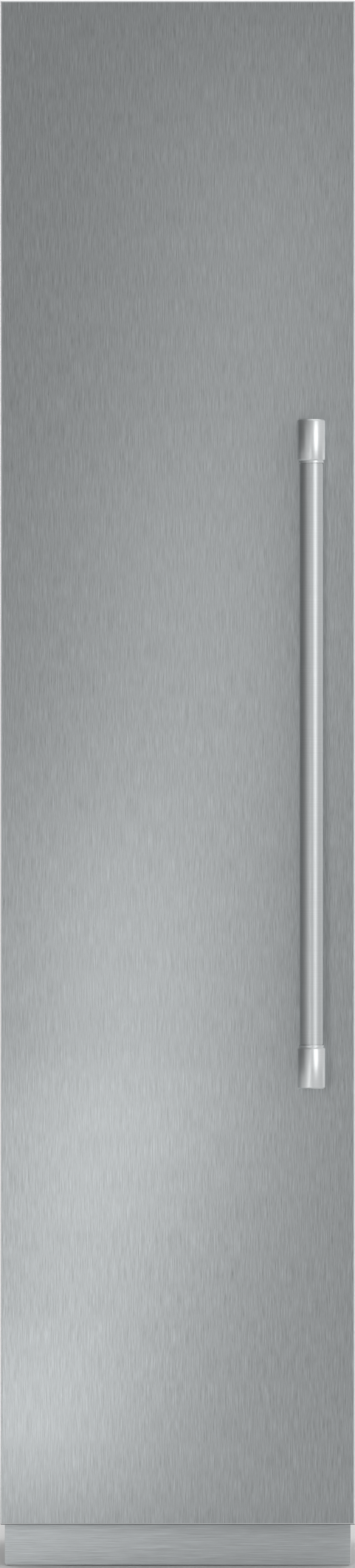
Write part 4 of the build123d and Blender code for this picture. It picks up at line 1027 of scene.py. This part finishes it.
def finPiece(depth, height):
    # A rippled sheet, so that the pack catches light as pressed fins do
    bm = bmesh.new()
    rings = []
    half = fin["thick"] / 2
    for step in range(fin["steps"] + 1):
        share = step / fin["steps"]
        x = fin["ripple"] * math.sin(2 * math.pi * fin["waves"] * share)
        corners = ((x - half, 0), (x + half, 0), (x + half, depth), (x - half, depth))
        rings.append([bm.verts.new((px, py, share * height)) for px, py in corners])
    joinRings(bm, rings, True)
    return newPiece("fin", bm, "fin_aluminium", None)


def makeCoil(node, pitch, leftBends, rightBends, riser=False):
    # Fins on straight tubes, with return bends that start at the rows named for each end
    name, slot = node + "Coil", slotOf[node]
    low, high, (_, y, _) = boxOf(node)
    height = high.z - low.z
    count = int(round((high.x - low.x) / pitch)) + 1
    step = ((high.x - low.x) / (count - 1), 0, 0)
    piece = finPiece(high.y - low.y, height)
    inRows(name + "Fins", slot, piece, (low.x, low.y, low.z), step, count, replaced=(node,))
    total = int(height / coil["rowPitch"] + 0.001)
    first = low.z + (height - (total - 1) * coil["rowPitch"]) / 2
    levels = [first + index * coil["rowPitch"] for index in range(total)]
    bend, over = coil["rowPitch"] / 2, coil["overhang"]
    runs = [[(low.x - over, y, z), (high.x + over, y, z)] for z in levels]
    runs += [arc((low.x, y, levels[row] + bend), bend, 270, 90, 12) for row in leftBends]
    runs += [arc((high.x, y, levels[row] + bend), bend, -90, 90, 12) for row in rightBends]
    if riser:
        corner, out = coil["riserCorner"], low.x - bend
        run = [(low.x, y, levels[0])]
        run += arc((out + corner, y, levels[0] + corner), corner, 270, 180, 6)
        run += arc((out + corner, y, levels[-1] - corner), corner, 180, 90, 6)
        runs.append(run + [(low.x, y, levels[-1])])
    swept(name + "Tubes", slot, runs, coil["tube"], 14)


def bladePiece():
    # A cambered blade that widens, sweeps and flattens towards its rounded tip
    bm = bmesh.new()
    radial, chord = rotor["radial"], rotor["chord"]
    root = rotor["hub"] * 0.9
    sides = []
    for side in (-1, 1):
        grid = []
        for out in range(radial + 1):
            share = out / radial
            radius = root + (rotor["tip"] - root) * share
            trim = 1 - 0.35 * max(0.0, (share - 0.75) / 0.25) ** 2
            line = []
            for across in range(chord + 1):
                place = (2 * across / chord - 1) * trim
                angle = rotor["spread"] * place * (1 + 0.15 * share) + rotor["sweep"] * share * share
                level = -rotor["rise"] / 2 * place * (1 - 0.3 * share) + rotor["camber"] * (1 - place * place)
                level += side * rotor["thick"] / 2
                line.append(bm.verts.new((radius * math.cos(angle), level, radius * math.sin(angle))))
            grid.append(line)
        sides.append(grid)
    for grid in sides:
        joinLines(bm, grid)
    rim = [(0, across) for across in range(chord)] + [(out, chord) for out in range(radial)]
    rim += [(radial, chord - across) for across in range(chord)] + [(radial - out, 0) for out in range(radial)]
    joinRings(bm, [[grid[out][across] for out, across in rim] for grid in sides])
    return newPiece("blade", bm, "grey_plastic", None)


def makeRotor(node, body):
    name, slot = camel(body), slotOf[node]
    low, high, (x, _, _) = boxOf(node)
    z, front, deep = low.z + rotor["axle"], low.y, high.y - low.y
    hub, length, shaft = rotor["hub"], rotor["hubLength"], rotor["shaft"]
    values = {"Centre": (x, front + length / 2, z), "Count": rotor["blades"], "FirstTurn": rotor["firstTurn"]}
    ring.make(name + "Blades", slot, body, (node,), Piece=bladePiece(), **values)
    bm = bmesh.new()
    profile = [
        (0, 0.0004),
        (shaft, 0),
        (shaft * 1.3, 0.0009),
        (hub - 0.003, 0.0006),
        (hub - 0.001, 0.0014),
        (hub, 0.0034),
        (hub, length),
        (hub - 0.0015, length),
        (hub - 0.0015, 0.004),
        (shaft + 0.0012, 0.004),
        (shaft, length),
        (shaft, deep - 0.0003),
        (shaft - 0.0005, deep),
        (0, deep),
    ]
    spun(bm, profile, (x, front, z), "Y", 48)
    newPiece(name + "Hub", bm, slot, body)


def makeGuard(name, slot, x, face, z):
    # Wire rings and spokes just in front of a face
    y = face - guard["gap"]
    runs = [arc((x, y, z), radius, 0, 360, 48) for radius in guard["rings"]]
    step = 2 * math.pi / guard["spokes"]
    inner, outer, back = guard["rings"][0], guard["rings"][-1], y + guard["wire"]
    for index in range(guard["spokes"]):
        side, up = math.cos((index + 0.5) * step), math.sin((index + 0.5) * step)
        runs.append([(x + side * inner, back, z + up * inner), (x + side * outer, back, z + up * outer)])
    swept(name, slot, runs, guard["wire"], 8)


def makeCompressorFittings():
    # The terminal cover with its lid, the process tube's stub, and the bolts of the mounts
    low, high, (x, y, _) = boxOf("compressor")
    radius = (high.x - low.x) / 2 - 0.006
    blocks = []
    for part in terminal:
        first = (x - part["half"], y - radius - part["front"], low.z + part["foot"])
        last = (x + part["half"], y - radius - part["back"], low.z + part["top"])
        blocks.append((first, last, part["edge"], part["steps"]))
    blockPiece("terminalCover", "black_plastic", "cabinet", *blocks)
    side, bend = x + stub["side"], stub["bend"]
    run = [(side, y - bend, high.z + stub["start"])]
    run += arc((side, y, high.z + stub["bendFoot"]), bend, 180, 90, 6, (1, 2))
    run.append((side, y + stub["end"], high.z + stub["top"]))
    swept("processTube", "copper", [run], stub["radius"], 12)
    bm = bmesh.new()
    reach = radius - 0.001
    for side, depth in ((-1, -1), (-1, 1), (1, -1), (1, 1)):
        spun(bm, mountBolt, (x + side * reach, y + depth * reach, low.z + 0.003), "Z", 24)
    newPiece("mountBolts", bm, "zinc", "cabinet")


makeCoil("condenser", 0.004, (0, 2), ())
makeCoil("evaporator", 0.0065, (1, 3, 5, 7), (2, 4, 6, 8), True)
makeRotor("condenser_fan", "condenser_rotor")
makeRotor("evaporator_fan", "evaporator_rotor")
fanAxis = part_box("evaporator_fan")[0].z + rotor["axle"]
makeGuard("evaporatorGuard", "white_plastic", 0.0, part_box("evaporator_cover")[0].y, fanAxis)
frameLow, _, (frameX, _, _) = boxOf("condenser_fan_frame")
makeGuard("condenserGuard", "black_plastic", frameX, frameLow.y, condenserAxis)
makeCompressorFittings()
print("coils, fans and compressor made")


# Inside the cabinet

vent = {"width": 0.15, "height": 0.007, "rim": 0.0022, "proud": 0.0016, "back": 0.0006, "edge": 0.0007}
vent |= {"bars": 3, "barHalf": 0.0008, "barEdge": 0.0004, "bladeIn": 0.002}
vents = {"pitch": 0.022, "count": 5, "highFoot": 1.34021}
fanRing = {"radius": 0.053, "width": 0.0046, "ease": 0.0008, "proud": 0.0016, "root": 0.0004}
panel = {
    "displayX": -0.04,
    "displayWidth": 0.11,
    "displayHeight": 0.024,
    "recess": 0.0008,
    "digitHeight": 0.0125,
    "digitWidth": 0.0068,
    "digitDepth": 0.00025,
    "stroke": 0.0013,
    "gap": 0.0035,
}
digitBars = {"-": "g", "1": "bc", "8": "abcdefg"}
keyMark = {"half": 0.003, "line": 0.0004, "ring": 0.0032, "ringLine": 0.00035}
shelfTrim = {"height": 0.0105, "depth": 0.0095, "rise": 0.0012, "edge": 0.0022, "proud": 0.0012, "end": 0.001}
shelfBead = {"end": 0.006, "offset": 0.0016, "radius": 0.0004}
shelfStop = {"end": 0.004, "depth": 0.006, "sunk": 0.0006, "height": 0.0052}
makerLid = {
    "inset": 0.004,
    "proud": 0.0016,
    "edge": 0.0012,
    "switchPlace": 0.022,
    "switchWidth": 0.012,
    "switchHeight": 0.021,
    "slots": 7,
    "slotPlace": 0.016,
    "slotPitch": 0.0052,
    "lampPlace": 0.019,
}
lightBar = {"length": 0.12, "cap": 0.007, "capOut": 0.0012, "wrap": 0.0008, "under": 0.0009}
lightBar |= {"ribs": 26, "rib": 0.0011, "ribEnd": 0.002}


def ventPiece():
    # A raised rim round a slot, with a blade across it that throws the air down
    bm = bmesh.new()
    half, rim, height, edge = vent["width"] / 2, vent["rim"], vent["height"], vent["edge"]
    front, back = -vent["proud"], vent["back"]
    softBlock(bm, (-half - rim, front, height), (half + rim, back, height + rim), edge)
    softBlock(bm, (-half - rim, front, -rim), (half + rim, back, 0), edge)
    for low in (-half - rim, half):
        softBlock(bm, (low, front, 0), (low + rim, back, height), edge)
    for index in range(1, vent["bars"] + 1):
        x = -half + vent["width"] * index / (vent["bars"] + 1)
        softBlock(bm, (x - vent["barHalf"], front / 2, 0), (x + vent["barHalf"], back, height), vent["barEdge"])
    near, far = front * 0.6, back + vent["bladeIn"]
    blade = []
    for low, high in ((0.3, 0.75), (0.45, 0.9)):
        for x, y, share in ((-half, near, low), (half, near, low), (half, far, high), (-half, far, high)):
            blade.append(bm.verts.new((x, y, height * share)))
    for corners in ((3, 2, 1, 0), (4, 5, 6, 7), (0, 1, 5, 4), (1, 2, 6, 5), (2, 3, 7, 6), (3, 0, 4, 7)):
        addFace(bm, [blade[index] for index in corners])
    return newPiece("vent", bm, "door_plastic", None)


def makeVents():
    low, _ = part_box("evaporator_cover")
    for name, foot in (("ventsHigh", vents["highFoot"]), ("ventsLow", low.z + vents["pitch"])):
        inRows(name, "door_plastic", ventPiece(), (0, low.y, foot), (0, 0, vents["pitch"]), vents["count"])
    bm = bmesh.new()
    inner, ease, root, face = fanRing["radius"], fanRing["ease"], fanRing["root"], -fanRing["proud"]
    outer = inner + fanRing["width"]
    profile = [(inner, root), (inner, -ease), (inner + ease, face), (outer - ease, face)]
    profile += [(outer, -ease), (outer, root), (inner, root)]
    spun(bm, profile, (0, low.y, fanAxis), "Y", 64)
    newPiece("fanRing", bm, "white_plastic", "cabinet")


def digitFace(bm, mark, x, y, z):
    # Bars of one seven-part digit, each a flat hexagon
    wide, tall, stroke = panel["digitWidth"], panel["digitHeight"] / 2, panel["stroke"]
    places = {
        "a": (0, tall, 0),
        "g": (0, 0, 0),
        "d": (0, -tall, 0),
        "b": (wide / 2, tall / 2, 1),
        "c": (wide / 2, -tall / 2, 1),
        "e": (-wide / 2, -tall / 2, 1),
        "f": (-wide / 2, tall / 2, 1),
    }
    for bar in digitBars[mark]:
        side, up, upright = places[bar]
        half, slant = (tall if upright else wide) / 2 - stroke * 0.35, stroke / 2
        outline = ((-half, 0), (-half + slant, -slant), (half - slant, -slant), (half, 0))
        outline += ((half - slant, slant), (-half + slant, slant))
        turned = [point[::-1] if upright else point for point in outline]
        layers = []
        for depth in (0.0, -panel["digitDepth"]):
            layers.append([bm.verts.new((x + side + dx, y + depth, z + up + dz)) for dx, dz in turned])
        joinRings(bm, layers, True)


def makeDisplay():
    low, _, (_, _, z) = boxOf("control_panel")
    y, middle = low.y + panel["recess"], panel["displayX"]
    bm = bmesh.new()
    pitch = panel["digitWidth"] + panel["gap"]
    for index, mark in enumerate("-18"):
        digitFace(bm, mark, middle + (index - 1) * pitch, y, z)
    loop = arc((middle + 1.85 * pitch, y - 0.0001, z + 0.0045), 0.0011, 0, 360, 20)[:-1]
    tubeAlong(bm, loop, 0.0003, 6, True)
    glow = glowing("displayGlow", (0.55, 0.72, 0.8), (0.55, 0.85, 1.0), 3.0)
    newPiece("displayDigits", bm, "lamp", "cabinet", finish=glow)
    bm = bmesh.new()
    profile = [(0, y + 0.0002), (0, low.y - 0.0003), (0.0008, low.y - 0.0006), (0.0018, low.y - 0.0006)]
    profile += [(0.0024, low.y), (0.0024, y + 0.0002)]
    mitredFrame(bm, Vector((middle, 0, z)), panel["displayWidth"] / 2, panel["displayHeight"] / 2, profile)
    newPiece("displayFrame", bm, "grey_plastic", "cabinet")


def makeButtonMarks():
    half, line, ringLine = keyMark["half"], keyMark["line"], keyMark["ringLine"]
    for word, mark in (("power", "power"), ("colder", "minus"), ("warmer", "plus")):
        low, _, (x, _, z) = boxOf(word + "_button")
        y = low.y
        bm = bmesh.new()
        if mark == "power":
            tubeAlong(bm, arc((x, y, z), keyMark["ring"], 120, 420, 28), ringLine)
            tubeAlong(bm, [(x, y, z + 0.001), (x, y, z + 0.0042)], ringLine)
        else:
            tubeAlong(bm, [(x - half, y, z), (x + half, y, z)], line)
        if mark == "plus":
            tubeAlong(bm, [(x, y, z - half), (x, y, z + half)], line)
        newPiece(mark + "Mark", bm, "white_plastic", word + "_key")


def makeShelfTrims():
    # A trim with two fine beads along the front of each shelf, and a low stop along its rear
    for node in ("low_shelf", "middle_shelf", "high_shelf"):
        low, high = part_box(node)
        front, top, end = low.y - shelfTrim["proud"], high.z + shelfTrim["rise"], shelfTrim["end"]
        bm = bmesh.new()
        last = (high.x - end, low.y + shelfTrim["depth"], top)
        softBlock(bm, (low.x + end, front, top - shelfTrim["height"]), last, shelfTrim["edge"], 4)
        for sign in (-1, 1):
            level = top - shelfTrim["height"] / 2 + sign * shelfBead["offset"]
            ends = [(x, front, level) for x in (low.x + shelfBead["end"], high.x - shelfBead["end"])]
            tubeAlong(bm, ends, shelfBead["radius"])
        newPiece(camel(node) + "Trim", bm, "white_plastic", "cabinet")
        first = (low.x + shelfStop["end"], high.y - shelfStop["depth"], high.z - shelfStop["sunk"])
        last = (high.x - shelfStop["end"], high.y, high.z + shelfStop["height"])
        blockPiece(camel(node) + "Stop", "white_plastic", "cabinet", (first, last, 0.0014, 3))


def makeLights():
    # End caps and prismatic ribs of the two light bars
    low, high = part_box("light_bars")
    length, cap, wrap = lightBar["length"], lightBar["cap"], lightBar["wrap"]
    caps, ribs = [], bmesh.new()
    for x in (low.x, high.x - length):
        for edge in (x - lightBar["capOut"], x + length - cap + lightBar["capOut"]):
            first = (edge, low.y - wrap, low.z - lightBar["under"])
            caps.append((first, (edge + cap, high.y + wrap, high.z), 0.0014, 3))
        for index in range(lightBar["ribs"]):
            start = x + cap + (length - 2 * cap) * (index + 0.5) / lightBar["ribs"]
            ends = [(start, y, low.z) for y in (low.y + lightBar["ribEnd"], high.y - lightBar["ribEnd"])]
            tubeAlong(ribs, ends, lightBar["rib"])
    blockPiece("lightCaps", "white_plastic", "cabinet", *caps)
    newPiece("lightRibs", ribs, "lamp", "cabinet")


# Feet, wheels and service fittings

foot = {"face": 0.0132, "nut": 0.0085, "nutHeight": 0.0054, "stem": 0.005, "thread": 0.0006, "pitch": 0.0015}
wheel = {"radius": 0.022, "half": 0.008, "groove": 0.0012, "grooveOff": 0.0027}
gland = {"ribs": 20, "ribStart": 0.0003, "ribEnd": 0.0037, "rib": 0.0009}
glandDome = [(0.0111, 0.004), (0.0116, 0.0055), (0.0116, 0.0125), (0.0108, 0.0155), (0.0085, 0.016)]
glandDome += [(0.0062, 0.0157), (0.0058, 0.0145), (0.0058, 0.004), (0.0111, 0.004)]
inlet = {"radius": 0.0131, "sunk": 0.0006, "foot": 0.0035, "first": 0.0042, "thread": 0.0007, "pitch": 0.0018}


def makeFeet():
    # A pad, a hex nut and a threaded stem
    face, nut, stem = foot["face"], foot["nut"], foot["stem"]
    top = face + foot["nutHeight"]
    for node in ("left_foot", "right_foot"):
        low, high, (x, y, _) = boxOf(node)
        centre, radius, length = (x, y, low.z), (high.x - low.x) / 2, high.z - low.z
        bm = bmesh.new()
        profile = [(0, 0), (radius - 0.0035, 0), (radius - 0.003, 0.0006), (radius - 0.0008, 0.0008), (radius, 0.0018)]
        profile += [(radius, 0.0055), (radius - 0.0012, 0.007), (0.0125, 0.0125), (0.0105, face), (0, face)]
        spun(bm, profile, centre, "Z", 64)
        newPiece(camel(node) + "Pad", bm, "black_plastic", node, (node,))
        bm = bmesh.new()
        profile = [(0, face), (nut * 0.94, face), (nut, face + 0.0007)]
        profile += [(nut, face + 0.0047), (nut * 0.94, top), (0, top)]
        spun(bm, profile, centre, "Z", 6)
        turns = threaded(face + 0.003, length - 0.0025, stem - foot["thread"], stem, foot["pitch"])
        spun(bm, [(0, face)] + turns + [(stem - 0.0014, length), (0, length)], centre, "Z", 24)
        newPiece(camel(node) + "Stem", bm, "zinc", node, sharp=50)


def makeWheels():
    # A tyre with two grooves on a dished hub
    radius, half, groove = wheel["radius"], wheel["half"], wheel["groove"]
    for node in ("left_wheel", "right_wheel"):
        low, high, centre = boxOf(node)
        reach = (high.x - low.x) / 2
        outside = [(0, -reach), (0.0028, -reach), (0.003, -reach + 0.0004), (0.003, -half + 0.001)]
        outside += [(0.006, -half + 0.001), (0.006, -half), (0.0075, -half), (0.0085, -half + 0.003)]
        outside += [(0.0145, -half + 0.003), (0.0155, -half), (radius - 0.002, -half)]
        outside += [(radius - 0.0006, -half + 0.0006), (radius, -half + 0.002)]
        tread = []
        for middle in (-wheel["grooveOff"], wheel["grooveOff"]):
            tread += [(radius, middle - groove / 2), (radius - groove, middle - groove / 4)]
            tread += [(radius - groove, middle + groove / 4), (radius, middle + groove / 2)]
        bm = bmesh.new()
        spun(bm, outside + tread + [(out, -along) for out, along in reversed(outside)], centre, "X", 48)
        newPiece(camel(node) + "Body", bm, "black_plastic", node, (node,))


def makeIceMakerFront():
    # A lid over the motor, its rocker switch, a row of slots and a small lamp
    low, high, (_, _, middle) = boxOf("ice_maker")
    inset, front = makerLid["inset"], low.y
    face = front - makerLid["proud"]
    lid, keys, lamp = bmesh.new(), bmesh.new(), bmesh.new()
    first = (low.x + inset, face, low.z + inset)
    softBlock(lid, first, (high.x - inset, front + inset, high.z - inset), makerLid["edge"], 3)
    left = low.x + makerLid["switchPlace"]
    wide, tall = makerLid["switchWidth"] / 2, makerLid["switchHeight"] / 2
    profile = [(0, face), (0, face - 0.0016), (0.0006, face - 0.0022), (0.002, face - 0.0022), (0.0026, face)]
    mitredFrame(lid, Vector((left, 0, middle)), wide, tall, profile)
    for sign, lift in ((-1, 0.0026), (1, 0.0014)):
        edges = sorted((middle, middle + sign * (tall - 0.0004)))
        first = (left - wide + 0.0004, face - lift, edges[0])
        softBlock(keys, first, (left + wide - 0.0004, face + 0.0005, edges[1]), 0.0007, 3)
    for index in range(makerLid["slots"]):
        x = high.x - makerLid["slotPlace"] - index * makerLid["slotPitch"]
        first = (x - 0.001, face - 0.0009, middle - tall)
        softBlock(keys, first, (x + 0.001, face + 0.0005, middle + tall), 0.0005)
    dome = [(0, -0.0018), (0.0012, -0.0015), (0.0019, -0.0006), (0.002, 0.0005), (0, 0.0005)]
    spun(lamp, dome, (left + makerLid["lampPlace"], face, middle), "Y", 24)
    newPiece("iceMakerLid", lid, "grey_plastic", "cabinet")
    newPiece("iceMakerKeys", keys, "black_plastic", "cabinet")
    newPiece("iceMakerLamp", lamp, "lamp", "cabinet")


def makeServiceFittings():
    # Ribs and a dome on the cord gland, a thread on the water inlet, and the control box's lid
    low, high, (x, _, z) = boxOf("cord_gland")
    bm = bmesh.new()
    nut = (high.x - low.x) / 2
    for index in range(gland["ribs"]):
        angle = 2 * math.pi * index / gland["ribs"]
        side, up = x + math.cos(angle) * nut, z + math.sin(angle) * nut
        ends = [(side, caseBack + out, up) for out in (gland["ribStart"], gland["ribEnd"])]
        tubeAlong(bm, ends, gland["rib"])
    spun(bm, glandDome, (x, caseBack, z), "Y", 40)
    newPiece("glandNut", bm, "black_plastic", "cabinet")
    low, high, (x, _, z) = boxOf("water_valve")
    bm = bmesh.new()
    radius = inlet["radius"]
    root = radius - inlet["sunk"]
    start = (root, inlet["foot"])
    top = high.y - caseBack - 0.0018
    turns = threaded(inlet["first"], top, radius, radius + inlet["thread"], inlet["pitch"])
    spun(bm, [start] + turns + [(root, turns[-1][1] + 0.0001), start], (x, caseBack, z), "Y", 40)
    newPiece("inletThread", bm, "white_plastic", "cabinet", sharp=50)
    low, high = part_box("control_box")
    first, last = (low.x + 0.004, low.y - 0.0018, low.z + 0.006), (high.x - 0.004, low.y + 0.0006, high.z - 0.006)
    lid = (first, last, 0.0014, 3)
    first, last = (low.x + 0.02, low.y - 0.0032, low.z + 0.03), (high.x - 0.02, low.y - 0.001, high.z - 0.045)
    blockPiece("boxLid", "grey_plastic", "cabinet", lid, (first, last, 0.0012, 3))


makeVents()
makeDisplay()
makeButtonMarks()
makeShelfTrims()
makeLights()
makeFeet()
makeWheels()
makeIceMakerFront()
makeServiceFittings()
for node, edge in (("shelf_supports", 0.0014), ("ice_maker", 0.0009), ("control_panel", 0.0005)):
    roundedCopy(node, "cabinet", edge)
for node, body in (("runner_rails", "cabinet"), ("lower_runners", "lower_slides"), ("upper_runners", "upper_slides")):
    roundedCopy(node, body, 0.0004)
print("inside made")


# Camera, lamps, floor and world

view = {
    "imageHeight": 2576,
    "metresPerPixel": 0.000783219,
    "lens": 300,
    "sensor": 36,
    "clipEnd": 80,
    "faceY": -0.28,
    "middleX": -0.0004,
    "middleZ": 1.0081,
}
room = {"left": 0.095, "right": 0.605, "rear": 0.4, "rearFade": (0.6, 0.92)}
ground = {"half": 8.0, "tone": 0.8, "speck": 0.985, "fade": (1.0, 3.2)}
lamps = {
    "key": {"place": (2.3, -2.9, 1.7), "aim": (0.1, -0.3, 1.0), "size": (1.6, 2.4), "power": 18.5},
    "left": {"place": (-1.9, -3.1, 1.3), "aim": (0.1, -0.3, 1.0), "size": (1.5, 2.4), "power": 3.3},
    "wash": {"place": (-0.35, -1.3, 0.7), "aim": (-0.35, -1.32, 0.0), "size": (0.7, 0.5), "power": 1.9},
    "bandLow": {"place": (-0.14, -1.35, 0.292), "aim": (-0.13, -0.3, 0.24), "size": (0.16, 0.44), "power": 0.28},
    "bandFoot": {"place": (-0.248, -1.0, 0.153), "aim": (-0.22, -0.3, 0.12), "size": (0.2, 0.16), "power": 0.095},
    "bandMiddle": {"place": (-0.074, -1.58, 0.706), "aim": (-0.07, -0.3, 0.72), "size": (0.12, 0.5), "power": 0.49},
    "bandHigh": {"place": (0.028, -1.58, 1.212), "aim": (0.03, -0.3, 1.2), "size": (0.12, 0.5), "power": 0.29},
    "bandTop": {"place": (0.11, -1.58, 1.718), "aim": (0.11, -0.3, 1.67), "size": (0.12, 0.5), "power": 0.185},
    "side": {"place": (-2.2, 3.0, 2.4), "aim": (0.0, 0.0, 1.0), "size": (1.6, 2.4), "power": 38},
    "top": {"place": (0.3, 0.6, 4.0), "aim": (0.0, 0.0, 1.0), "size": (2.4, 2.4), "power": 22},
    "back": {"place": (0.8, 3.6, 2.2), "aim": (0.0, 0.0, 1.0), "size": (2.4, 2.4), "power": 25},
}


def lightPath(graph):
    # What the camera sees itself, and what it sees mirrored or through glass
    seen = graph.add("ShaderNodeLightPath")
    outputs = seen.socket.node.outputs
    mirrored, through = (Value(graph, outputs[name]) for name in ("Is Glossy Ray", "Is Transmission Ray"))
    return seen, mirrored.greater(through)


def eased(graph, value, low, high):
    # 0 up to low and 1 from high on, with soft ends
    inputs = {"Value": value, "From Min": low, "From Max": high}
    return graph.add("ShaderNodeMapRange", {"interpolation_type": "SMOOTHSTEP"}, inputs)


def makeCamera():
    data = bpy.data.cameras.new("camera")
    data.lens = view["lens"]
    data.sensor_width = view["sensor"]
    data.clip_end = view["clipEnd"]
    camera = linked("camera", data)
    distance = view["imageHeight"] * view["metresPerPixel"] * view["lens"] / view["sensor"]
    camera.location = (view["middleX"], view["faceY"] - distance, view["middleZ"])
    camera.rotation_euler = (math.pi / 2, 0, 0)
    bpy.context.scene.camera = camera
    bpy.context.scene.view_settings.view_transform = "Standard"


def makeLamps():
    for name, lamp in lamps.items():
        light = bpy.data.lights.new(name, "AREA")
        light.shape = "RECTANGLE"
        light.size, light.size_y = lamp["size"]
        light.energy = lamp["power"]
        obj = linked(name, light)
        obj.location = lamp["place"]
        way = Vector(lamp["aim"]) - Vector(lamp["place"])
        obj.rotation_euler = way.to_track_quat("-Z", "Y").to_euler()
        obj.visible_camera = False


def makeFloor():
    # Pale round the object, fading to white for the camera and for what mirrors the floor behind
    mesh = bpy.data.meshes.new("floor")
    half = ground["half"]
    mesh.from_pydata([(-half, -half, 0), (half, -half, 0), (half, half, 0), (-half, half, 0)], [], [(0, 1, 2, 3)])
    made = Finish("floorFinish")
    tones = made.mottled(made.noise(6, 3.0), 0.3, 0.7, (ground["tone"],) * 3, ground["speck"])
    paint = made.add("ShaderNodeBsdfPrincipled", {}, {"Base Color": tones, "Roughness": 0.7})
    white = made.add("ShaderNodeEmission", {}, {"Color": tone((1, 1, 1)), "Strength": 1.0})
    away = made.add("ShaderNodeVectorMath", {"operation": "LENGTH"}, {0: made.place}, 1)
    depth = made.add("ShaderNodeSeparateXYZ", {}, {"Vector": made.place}, 1)
    seen, glanced = lightPath(made)
    glanced = glanced * eased(made, depth, *ground["fade"])
    share = eased(made, away, *ground["fade"]) * seen.greater(glanced)
    both = made.add("ShaderNodeMixShader", {}, {0: share, 1: paint, 2: white})
    made.add("ShaderNodeOutputMaterial", {}, {"Surface": both})
    mesh.materials.append(made.material)
    linked("floor", mesh)


def makeWorld():
    # White to the camera and, behind the object, in reflections and through glass; a dimmer room in front
    world = bpy.data.worlds.new("studio")
    bpy.context.scene.world = world
    world.use_nodes = True
    graph = Graph(world.node_tree)
    graph.tree.nodes.clear()
    seen, glanced = lightPath(graph)
    across = graph.add("ShaderNodeSeparateXYZ", {}, {"Vector": graph.add("ShaderNodeTexCoord")})
    inputs = {"Value": across, "From Min": -1.0, "From Max": 1.0, "To Min": room["left"], "To Max": room["right"]}
    sides = graph.add("ShaderNodeMapRange", {}, inputs)
    behind = eased(graph, Value(graph, across.socket.node.outputs["Y"]), *room["rearFade"])
    strength = seen.greater((sides + behind * room["rear"]).greater(glanced * behind))
    light = graph.add("ShaderNodeBackground", {}, {"Color": tone((1, 1, 1)), "Strength": strength})
    graph.add("ShaderNodeOutputWorld", {}, {"Surface": light})


makeCamera()
makeLamps()
makeFloor()
makeWorld()
print("studio made:", len(lamps), "lamps")
